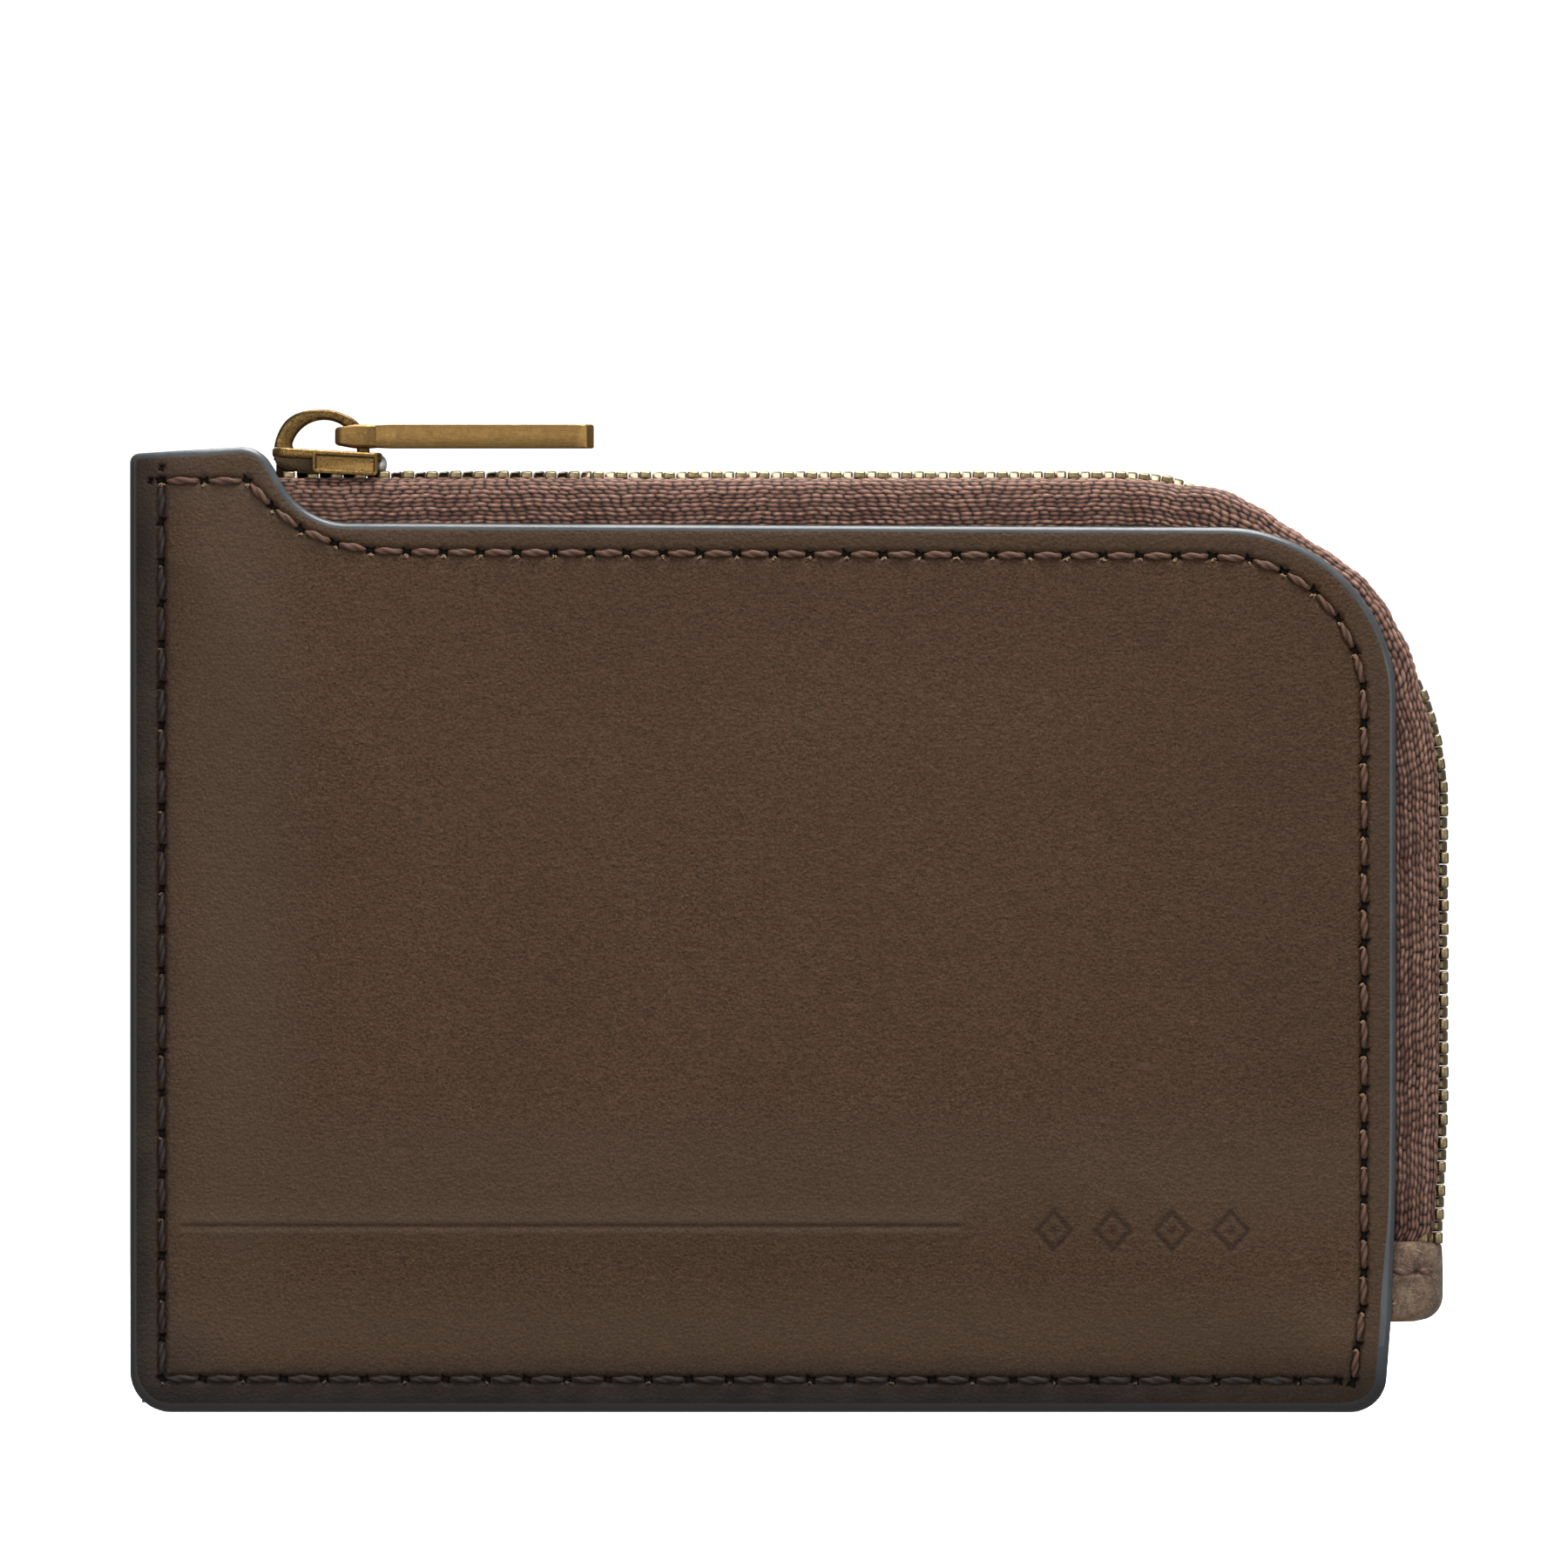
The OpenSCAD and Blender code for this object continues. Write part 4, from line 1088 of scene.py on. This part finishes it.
def bowed_sheet(name, x0, x1, z0, z1, r, half0, half1, thick, side, mats, notch=None, step=1.5):
    """A thin bowed sheet with a round corner, rolled edges and perhaps a lower right notch."""
    notch = notch or (x1, z0)
    low_right = [[notch[0], z0], notch, [x1, notch[1]]] if notch[1] > z0 else [[x1, z0]]
    outline = np.vstack([[[x0, z0]], low_right, arc(x1 - r, z1 - r, r, 0, 90, 12), [[x0, z1]]])
    loop = resample(outline, 0.8, closed=True)
    inner = loop + inward_normals(loop) * thick * 0.5
    points = hex_grid(x0 + step, x1 - step, z0 + step, z1 - step, step)
    gap = np.linalg.norm(points[:, None] - inner[None], axis=2).min(1)
    inside = (points[:, 0] < x1 - r) | (points[:, 1] < z1 - r) | (
        np.hypot(points[:, 0] - x1 + r, points[:, 1] - z1 + r) < r - step)
    inside &= (points[:, 0] < notch[0] - 0.5) | (points[:, 1] > notch[1] + 0.5)
    p, tris, rim = triangulate(inner, points[(gap > 0.7) & inside])
    depth = mix(half0, half1, rise(p[:, 0], p[:, 1])) + 0.03 * waves(p[:, 0], p[:, 1], 15, 31)
    n, m = len(p), len(loop)
    mid = mix(half0, half1, rise(loop[:, 0], loop[:, 1])) - thick / 2
    verts = np.vstack([
        np.stack([p[:, 0], side * depth, p[:, 1]], 1),
        np.stack([loop[:, 0], side * mid, loop[:, 1]], 1),
        np.stack([p[:, 0], side * (depth - thick), p[:, 1]], 1),
    ])
    faces = [tuple(t) for t in tris]
    faces += [tuple(n + m + v for v in reversed(t)) for t in tris]
    for i in range(m):
        j = (i + 1) % m
        faces.append((rim[i], n + i, n + j, rim[j]))
        faces.append((n + i, n + m + rim[i], n + m + rim[j], n + j))
    if side > 0:
        faces = [tuple(reversed(f)) for f in faces]
    return mesh_object(name, verts, faces, mats)


def welt(material):
    """The layers of leather in the sewn seams, with rounded noses; thicker inside, to shut out light."""
    half, depth, layers = box_mm("edge_welt")[1][1], 3.2, 3
    tall = np.flatnonzero((OUTLINE[:, 0] < X_LEFT + 1) & (OUTLINE[:, 1] < RAISED_TOP - 2.5)
                          & (np.arange(len(OUTLINE)) > len(OUTLINE) / 2))
    flat = np.flatnonzero((OUTLINE[:, 1] < 0.5) & (OUTLINE[:, 0] < X_LEATHER - 6))
    order = np.concatenate([tall, np.arange(flat[-1] + 1)])
    path, inward = OUTLINE[order], NORMALS[order]
    nose = half / layers
    profile = []
    for k in range(layers):
        y = -half + nose * (2 * k + 1)
        profile += [(0.30 + 0.34 * (1 - math.cos(a)), y + 0.97 * nose * math.sin(a))
                    for a in np.linspace(-1.45, 1.45, 9)]
    profile += [(1.5, half), (1.9, half + 0.3), (depth, half + 0.3)]
    profile += [(depth, -half - 0.3), (1.9, -half - 0.3), (1.5, -half)]
    rng = np.random.default_rng(41)
    jitter = 0.05 * waves(path[:, 0], path[:, 1], 6, 42)
    verts = [(p[0] + o[0] * (d + j), y, p[1] + o[1] * (d + j))
             for p, o, j in zip(path, inward, jitter) for d, y in profile]
    cols = len(profile)
    faces = grid_faces(len(path), cols, wrap_cols=True) + end_caps(len(path), cols, flip=True)
    # The filler's paint is darkened all over: burnished, with painted shade between the panels
    burnish_shade = 0.75 + 0.25 * rng.random(len(verts))
    return mesh_object("seam_filler", verts, faces, [material], attributes={"burnish_and_shade": burnish_shade})


# ---------------------------------------------------------------- end tab
TAB_STITCH_Z, TAB_HOLE_X = 12.0, 53.15
TAB_STITCHES = (51.0, 52.95), (53.35, 54.6)


def end_tab(material):
    """A strip of leather folded round the zip's lower end, with one rounded lower corner."""
    half, thick, corner = tab_high[1], 0.85, 2.1
    z0, z1 = tab_low[2], tab_high[2]
    rows, leaf, bend = 34, 26, 22
    xs = np.linspace(0, 1, leaf)
    verts, raw, hole = [], [], []
    for i, u in enumerate(np.linspace(0, 1, rows)):
        z = z0 + (z1 - z0) * u
        cut = corner - math.sqrt(max(0.0, corner ** 2 - max(0.0, z0 + corner - z) ** 2))
        cut += 0.5 - math.sqrt(max(0.0, 0.5 ** 2 - max(0.0, z - z1 + 0.5) ** 2))
        x_out = tab_high[0] - cut + 0.10 * math.sin(math.pi * u)
        for layer, inset in ((0, 0.0), (1, thick)):
            r = half - inset
            nose = min(r, 2.3)
            cx = x_out - inset - nose
            front = [(tab_low[0] + (cx - tab_low[0]) * t, -r) for t in xs]
            turn = [(cx + nose * math.sin(a), -r * math.cos(a))
                    for a in np.linspace(0, math.pi, bend)[1:-1]]
            back = [(x, -y) for x, y in reversed(front)]
            for x, y in front + turn + back:
                up = z - TAB_STITCH_Z
                sink = 0.16 * math.exp(-(up / 0.45) ** 2)
                pit = math.exp(-((x - TAB_HOLE_X) / 0.36) ** 2 - (up / 0.20) ** 2)
                soft = 0.25 * math.exp(-((z - z1) / 0.3) ** 2) + 0.25 * math.exp(-((z - z0) / 0.35) ** 2)
                if layer == 1:
                    sink, pit, soft = 0, 0, -soft
                shrink = 1 - (sink + soft + 0.3 * pit) / max(half, 0.1)
                verts.append((x - (soft * 0.4 if x > cx else 0), y * shrink, z))
                raw.append(math.exp(-((z - z0) / 0.28) ** 2) if layer == 0 else 1.0)
                hole.append(pit)
    cols = 2 * leaf + bend - 2
    ring = 2 * cols
    faces = []
    for i in range(rows - 1):
        for j in range(cols - 1):
            a, b = i * ring + j, (i + 1) * ring + j
            faces.append((a, a + 1, b + 1, b))
            faces.append((a + cols, b + cols, b + cols + 1, a + cols + 1))
        for j in (0, cols - 1):
            a, b = i * ring + j, (i + 1) * ring + j
            quad = (a, b, b + cols, a + cols)
            faces.append(quad if j == 0 else tuple(reversed(quad)))
    for i in (0, rows - 1):
        for j in range(cols - 1):
            a = i * ring + j
            quad = (a, a + cols, a + cols + 1, a + 1)
            faces.append(quad if i == 0 else tuple(reversed(quad)))
    return mesh_object("end_tab_leather", verts, faces, [material],
                       attributes={"rawedge": raw, "hole": hole})


def tab_threads(material):
    """The visible stitch across each side of the end tab."""
    rows, cols = 13, 12
    theta = cross_sections(cols)
    verts, faces, groove = [], [], []
    for side in (-1, 1):
        for x0, x1 in TAB_STITCHES:
            base = len(verts)
            for u in np.linspace(0, 1, rows):
                swell = max(0.03, math.sin(math.pi * u)) ** 0.5
                lobes = 1 + 0.15 * np.cos(2 * theta - 2 * math.pi * u * 1.2)
                for k in range(cols):
                    r = 0.30 * swell * lobes[k]
                    drop = 0.35 * smooth01(np.array((x0 + (x1 - x0) * u - 53.4) / 1.2)) ** 2
                    y = tab_high[1] - 0.16 - 0.10 * (1 - swell) - drop
                    verts.append((x0 + (x1 - x0) * u, side * (y + r * math.sin(theta[k]) * 0.8),
                                  TAB_STITCH_Z + 1.15 * r * math.cos(theta[k])))
                    # The groove value sets painted shade between the plies
                    groove.append(np.clip((1.02 - lobes[k]) / 0.15, 0, 1) * 0.8)
            faces += grid_faces(rows, cols, base, wrap_cols=True, flip=side < 0)
            faces += end_caps(rows, cols, base)
    return mesh_object("end_tab_stitches", verts, faces, [material], attributes={"groove": groove})


# ---------------------------------------------------------------- slider, loop and pull
def plate_outline(l, w_mouth, w_tail, r, n=6):
    corners = [(-l / 2 + r, -w_mouth / 2 + r, 180), (l / 2 - r, -w_tail / 2 + r, 270),
               (l / 2 - r, w_tail / 2 - r, 0), (-l / 2 + r, w_mouth / 2 - r, 90)]
    return np.vstack([arc(cx, cy, r, a, a + 90, n) for cx, cy, a in corners])


def block(bm, low, high):
    """Adds a box between two corners."""
    corners = [(low[0], low[1]), (high[0], low[1]), (high[0], high[1]), (low[0], high[1])]
    prism(bm, corners, low[2], high[2])


def framed_block(low, high, side):
    """A side wall with a raised rim round a slightly sunken face on its outer side."""
    bm = bmesh.new()
    block(bm, low, high)
    bmesh.ops.recalc_face_normals(bm, faces=bm.faces)
    upright = [e for e in bm.edges if abs(e.verts[0].co.y - e.verts[1].co.y) > 0.1]
    bmesh.ops.bevel(bm, geom=upright, offset=0.38, segments=4, profile=0.5, affect="EDGES")
    face = max((f for f in bm.faces if f.normal.y * side > 0.9), key=lambda f: f.calc_area())
    bmesh.ops.inset_region(bm, faces=[face], thickness=0.24, depth=0)
    bmesh.ops.inset_region(bm, faces=[face], thickness=0.10, depth=-0.13)
    bevelled(bm, 0.07, 2, 40)
    return bm


SLIDER_TILT = 0.055


def upright(bm, outline, y0, y1):
    """Adds a prism over an outline in X and Z, between two depths."""
    near, far = ([bm.verts.new((x, y, z)) for x, z in outline] for y in (y0, y1))
    n = len(outline)
    bm.faces.new(near)
    bm.faces.new(tuple(reversed(far)))
    for i in range(n):
        j = (i + 1) % n
        bm.faces.new((near[j], near[i], far[i], far[j]))


def slider_body(mats):
    """Upper and lower plates, the post between them at the mouth, and the side walls."""
    length, width = slider_high[0] - slider_low[0] - 0.6, slider_high[1] - slider_low[1]
    centre = slider_low[0] + length / 2
    gap, plate_t = 0.3, 0.85
    plate_low, top = CREST_Z + gap, slider_high[2]
    parts = []

    def part(build, width_bevel, segments=2, material=0):
        bm = bmesh.new()
        build(bm)
        bmesh.ops.recalc_face_normals(bm, faces=bm.faces)
        bevelled(bm, width_bevel, segments)
        parts.append((bm, material))

    upper = plate_outline(length, width, width - 0.9, 1.1) + [centre, 0]
    part(lambda bm: prism(bm, upper, top - plate_t, top), 0.24, 3)
    lower_top = CREST_Z - TOOTH_H - 0.3
    lower = plate_outline(length - 1.3, 4.5, 3.9, 1.0) + [centre, 0]
    part(lambda bm: prism(bm, lower, lower_top - 1, lower_top), 0.2)
    post_x = slider_low[0] + 1
    post = [(post_x - 0.75, 0), (post_x, -0.5), (post_x + 0.75, 0), (post_x, 0.5)]
    part(lambda bm: prism(bm, post, lower_top - 0.3, plate_low + 0.3), 0.06, 2, 1)
    wall_x = FIRST_TOOTH_X, slider_low[0] + length - 0.35
    mouth_x = slider_low[0] + 0.25
    flare_low = CREST_Z + 0.03
    # The flare drops behind the one tooth on its side that has parted from the others
    for side, drop_x in ((-1, wall_x[0] - 1.4), (1, wall_x[0] - 0.4)):
        flare = [(mouth_x, plate_low + 0.50), (mouth_x + 0.25, flare_low + 0.25),
                 (mouth_x + 1.0, flare_low), (drop_x, flare_low), (drop_x + 0.1, flare_low - 0.26),
                 (wall_x[0] + 0.3, flare_low - 0.26), (wall_x[0] + 0.3, top - 0.4), (mouth_x, top - 0.1)]
        y0, y1 = sorted((side * (TOOTH_REACH + 0.3), side * (width / 2 + 0.02)))
        wall = (wall_x[0], y0, plate_low - 0.72), (wall_x[1], y1, top - 0.16)
        parts.append((framed_block(*wall, side), 0))
        y0, y1 = sorted((side * (width / 2 - 1.0), side * (width / 2 - 0.35)))
        part(lambda bm: upright(bm, flare, y0, y1), 0.10, 2, 1)
    # A nub at the tail, coloured near white: a painted glint
    nub = bmesh.new()
    bmesh.ops.create_uvsphere(nub, u_segments=20, v_segments=12, radius=1)
    nub_x, nub_z = slider_high[0] - 0.75, plate_low + 0.26
    for v in nub.verts:
        v.co = Vector((nub_x + v.co.x * 0.55, v.co.y * 1.9, nub_z + v.co.z * 0.80))
    parts.append((nub, 2))
    whole = bmesh.new()
    for bm, material in parts:
        for f in bm.faces:
            f.material_index = material
        # The slider rides a little nose-down on the teeth
        for v in bm.verts:
            if v.co.z > CREST_Z - 0.6 and material != 1:
                v.co.z += SLIDER_TILT * max(0.0, slider_high[0] - 1.5 - v.co.x)
        join_into(whole, bm)
    return object_from_bmesh("slider_casting", whole, mats)


def slider_loop(mats):
    """The half ring on the slider: heavy at its left foot, slimmer where the pull hangs."""
    centre = (loop_low[0] + loop_high[0]) / 2
    radius, base = (loop_high[0] - loop_low[0]) / 2, loop_low[2]
    clear = radius - 0.9
    half_w, corner_r = (loop_high[1] - loop_low[1]) / 2, 0.3
    verts, count = [], 65
    for deg in np.linspace(0, 180, count):
        a = math.radians(deg)
        outer = radius + 0.56 * float(smooth01((deg - 92) / 52)) + 0.17 * float(smooth01((70 - deg) / 30))
        inner = clear - 0.62 * float(smooth01((deg - 164) / 18))
        mid, half_t = (outer + inner) / 2, (outer - inner) / 2
        cx, cy = half_w - corner_r, half_t - corner_r
        section = []
        for sx, sy, a0 in ((1, 1, 0), (-1, 1, 90), (-1, -1, 180), (1, -1, 270)):
            for t in np.radians(np.linspace(a0, a0 + 90, 5)):
                section.append((sx * cx + corner_r * math.cos(t), sy * cy + corner_r * math.sin(t)))
        for w, t in section:
            r = mid + t
            verts.append((centre + r * math.cos(a), w, base + r * math.sin(a)))
    cols = len(section)
    foot_right = [(x, y, base - 0.25) for x, y, _ in verts[:cols]]
    foot_left = [(x, y, base - 0.62) for x, y, _ in verts[-cols:]]
    verts = foot_right + verts + foot_left
    faces = grid_faces(count + 2, cols, wrap_cols=True) + end_caps(count + 2, cols, flip=True)
    obj = mesh_object("slider_ring", verts, faces, mats)
    obj.data.set_sharp_from_angle(angle=math.radians(50))
    return obj


def pull_bar(mats):
    """A flat bar with a heavier rounded eye, which has a rectangular hole for the loop."""
    x0, x1 = pull_low[0] + 0.45, pull_high[0]
    half = (pull_high[1] - pull_low[1]) / 2
    z0, z1 = pull_low[2], pull_high[2]
    loop_centre = (loop_low[0] + loop_high[0]) / 2
    hole_x, hole_half = (loop_centre + 1.6, loop_centre + 3.9), 1.1
    eye_end, nose_r, middle_z = hole_x[1] + 1.2, 0.7, (z0 + z1) / 2

    outline = plate_outline(eye_end - x0, 2 * half, 2 * half, nose_r, 5) + [(x0 + eye_end) / 2, 0]
    outline = resample(outline, 0.25, closed=True)
    middle, span = np.array([sum(hole_x) / 2, 0]), np.array([(hole_x[1] - hole_x[0]) / 2, hole_half])
    reach = (np.abs((outline - middle) / span) ** 7).sum(1) ** (1 / 7)
    eye = bmesh.new()
    prism(eye, outline, z0, z1, middle + (outline - middle) / reach[:, None])
    bmesh.ops.recalc_face_normals(eye, faces=eye.faces)

    def outer_rim(e):
        ends = [v.co for v in e.verts]
        flat = abs(ends[0].z - ends[1].z) < 1e-4
        outside = all(abs(c.y) > hole_half + 0.2 or c.x < x0 + nose_r + 0.01 for c in ends)
        return flat and outside and e.calc_face_angle(0) > 1

    rim = [e for e in eye.edges if outer_rim(e)]
    bmesh.ops.bevel(eye, geom=rim, offset=0.6, segments=6, profile=0.5, affect="EDGES",
                    clamp_overlap=True)
    bevelled(eye, 0.14, 2, 50)
    # The eye narrows at its free end, and dives into the bar at the other
    for v in eye.verts:
        join = float(smooth01((v.co.x - hole_x[1] + 0.2) / 1.4))
        taper = (1 - 0.08 * join) * (0.76 + 0.24 * float(smooth01((v.co.x - x0) / 1.9)))
        v.co.y *= 1 - 0.20 * join
        v.co.z = middle_z + (v.co.z - middle_z) * taper
    bar = bmesh.new()
    block(bar, (hole_x[1] + 0.05, -half, z0), (x1, half, z1))
    lengthwise = [e for e in bar.edges if abs(e.verts[0].co.x - e.verts[1].co.x) > 1]
    bmesh.ops.subdivide_edges(bar, edges=lengthwise, cuts=31, use_grid_fill=True)
    for v in bar.verts:
        neck = 1 - float(smooth01((v.co.x - hole_x[1] - 0.05) / 1.9))
        v.co.y *= 1 - 0.14 * neck
        v.co.z = middle_z + (v.co.z - middle_z) * (1 - 0.06 * neck)
    bmesh.ops.recalc_face_normals(bar, faces=bar.faces)
    far = [e for e in bar.edges
           if all(v.co.x > x1 - 0.01 for v in e.verts) and abs(e.verts[0].co.z - e.verts[1].co.z) > 0.1]
    bmesh.ops.bevel(bar, geom=far, offset=0.6, segments=1, profile=0.5, affect="EDGES")
    bevelled(bar, 0.16, 2, 50)
    join_into(eye, bar)
    return object_from_bmesh("pull_plate", eye, mats)


# ---------------------------------------------------------------- stage, light and camera
WORLD_LIGHT = 0.36


def white_glow(name):
    """Plain white, for the floor and the backdrop."""
    n = Nodes(name)
    color = n.blend(n.ramp(n.noise(0.02, 3), 0.3, 0.7), (0.86, 0.86, 0.86), (0.89, 0.89, 0.885))
    n.finish(color, 0.8, specular=0.1)
    n.shader.inputs["Emission Color"].default_value = (1, 1, 1, 1)
    n.shader.inputs["Emission Strength"].default_value = 1.0
    return n.material


def stage():
    """A white floor and a white dome round it, which are seen but give the object no light."""
    size = 4000
    corners = [(-size, -size, -0.02), (size, -size, -0.02), (size, size, -0.02), (-size, size, -0.02)]
    floor = mesh_object("floor", corners, [(0, 1, 2, 3)], [white_glow("floor_white")], smooth=False)
    bm = bmesh.new()
    bmesh.ops.create_icosphere(bm, subdivisions=4, radius=1.1 * size)
    dome = object_from_bmesh("backdrop", bm, [white_glow("backdrop_white")])
    for piece in (floor, dome):
        piece.visible_diffuse = piece.visible_glossy = piece.visible_shadow = False
    world = bpy.data.worlds.new("studio")
    bpy.context.scene.world = world
    world.use_nodes = True
    background = world.node_tree.nodes["Background"]
    background.inputs[0].default_value = (0.97, 0.985, 1, 1)
    background.inputs[1].default_value = WORLD_LIGHT


def area_light(name, place, target, size, watts, color=(1, 1, 1)):
    lamp = bpy.data.lights.new(name, "AREA")
    lamp.shape = "RECTANGLE"
    lamp.size, lamp.size_y = size[0] * MM, size[1] * MM
    lamp.energy = watts
    lamp.color = color
    obj = bpy.data.objects.new(name, lamp)
    bpy.context.scene.collection.objects.link(obj)
    obj.location = Vector(place) * MM
    obj.rotation_mode = "QUATERNION"
    obj.rotation_quaternion = (Vector(target) * MM - obj.location).to_track_quat("-Z", "Y")


def lights():
    middle = (0, 0, 42)
    area_light("key", (-150, -430, 150), middle, (320, 260), 0.58)
    area_light("fill", (300, -400, 20), middle, (260, 240), 0.335, (0.93, 0.96, 1))
    area_light("top", (40, 10, 420), middle, (420, 220), 3.6)
    area_light("rear", (-160, 420, 260), middle, (300, 300), 1.0)


def camera():
    """Straight on to the front face, at the photograph's framing."""
    frame_w, lens = 132.8, 500
    centre_x, centre_z = -0.45, 53.3
    data = bpy.data.cameras.new("camera")
    data.lens = lens
    data.sensor_width = 36
    distance = frame_w / data.sensor_width * lens
    cam = bpy.data.objects.new("camera", data)
    bpy.context.scene.collection.objects.link(cam)
    cam.location = Vector((centre_x, -HALF_BODY - distance, centre_z)) * MM
    cam.rotation_euler = (math.pi / 2, 0, 0)
    data.clip_start, data.clip_end = 0.01, 20
    bpy.context.scene.camera = cam
    bpy.context.scene.view_settings.view_transform = "Standard"


# ---------------------------------------------------------------- build
def build_pouch():
    leather, paint, flesh = leather_material(), edge_paint_material(), flesh_material()
    cloth, weave = lining_material(), tape_material()
    toothed = brass_material("tooth_brass", OLIVE, OLIVE_DARK, grit=0.4, patina=0.6)
    zip_thread = thread_material("zip_thread", *ZIP_THREAD)
    sewn_thread = thread_material("sewn_thread", *SEWN_THREAD)
    for front in (True, False):
        face = "front" if front else "back"
        side = -1 if front else 1
        pieces = [
            (panel(face + "_leather", front, [leather, paint, flesh]), face + "_panel", "leather"),
            (thread_line(face + "_zip_stitches", ZIP_HOLES, front, zip_thread, 0.275, 0.22, 0.08, 1),
             "zip_thread_" + face, "thread_zip"),
            (thread_line(face + "_sewn_stitches", SEWN_HOLES, front, sewn_thread, 0.27, 0.20, 0.14, 0.7),
             "sewn_thread_" + face, "thread_sewn"),
            (tape(face + "_tape", front, weave), "tape_" + face, "tape"),
            (teeth(face + "_teeth", front, toothed), "teeth_" + face, "teeth"),
            (top_stop("top_stop_" + face, front, toothed), "top_stop_" + face, "teeth"),
            (bowed_sheet(face + "_lining_cloth", *LINING_X, *LINING_Z, CHAIN_R - 5.7, *LINING_DEPTH, 0.4,
                         side, [cloth], (tab_low[0] - 0.2, tab_high[2] + 4)), face + "_lining", "lining"),
        ]
        for piece, node, slot_name in pieces:
            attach(piece, "pouch")
            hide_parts(node)


def build_small_parts():
    tab = end_tab(tab_material())
    tab_thread = tab_threads(thread_material("tab_thread", *TAB_THREAD))
    divider = bowed_sheet("card_leaf", *CARD_X, *CARD_Z, 3, *CARD_DEPTH, 0.5, 1, [flesh_material()])
    filler = welt(edge_paint_material())
    for piece, node, slot_name in (
            (tab, "end_tab", "tab_leather"), (tab_thread, "end_tab_thread", "thread_zip"),
            (divider, "card_divider", "leather"), (filler, "edge_welt", "edge")):
        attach(piece, "pouch")
        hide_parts(node)
    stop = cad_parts["bottom_stop"]
    stop.data.materials.clear()
    stop.data.materials.append(brass_material("stop_brass", OLIVE, OLIVE_DARK))


def build_hardware():
    cast = brass_material("slider_brass", BRASS, BRASS_DARK, grit=0.8, patina=0.7)
    shadowed = brass_material("slider_shadow", SHADOWED, SHADOWED_DARK, grit=0.5)
    # The nub's material is near white: a painted glint
    worn = brass_material("slider_nub_glint", GLINT_WHITE, GLINT_DARK, patina=0.3, metallic=0.35)
    brushed = brass_material("pull_brass", PULL_BRASS, BRASS_DARK, brushed=(0.10, 1, 1), patina=0.3)
    for piece, node, body in ((slider_body([cast, shadowed, worn]), "slider_body", "slider"),
                              (slider_loop([cast]), "slider_loop", "slider"),
                              (pull_bar([brushed]), "pull_bar", "pull")):
        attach(piece, body)
        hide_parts(node)


camera()
lights()
stage()
build_pouch()
build_small_parts()
build_hardware()
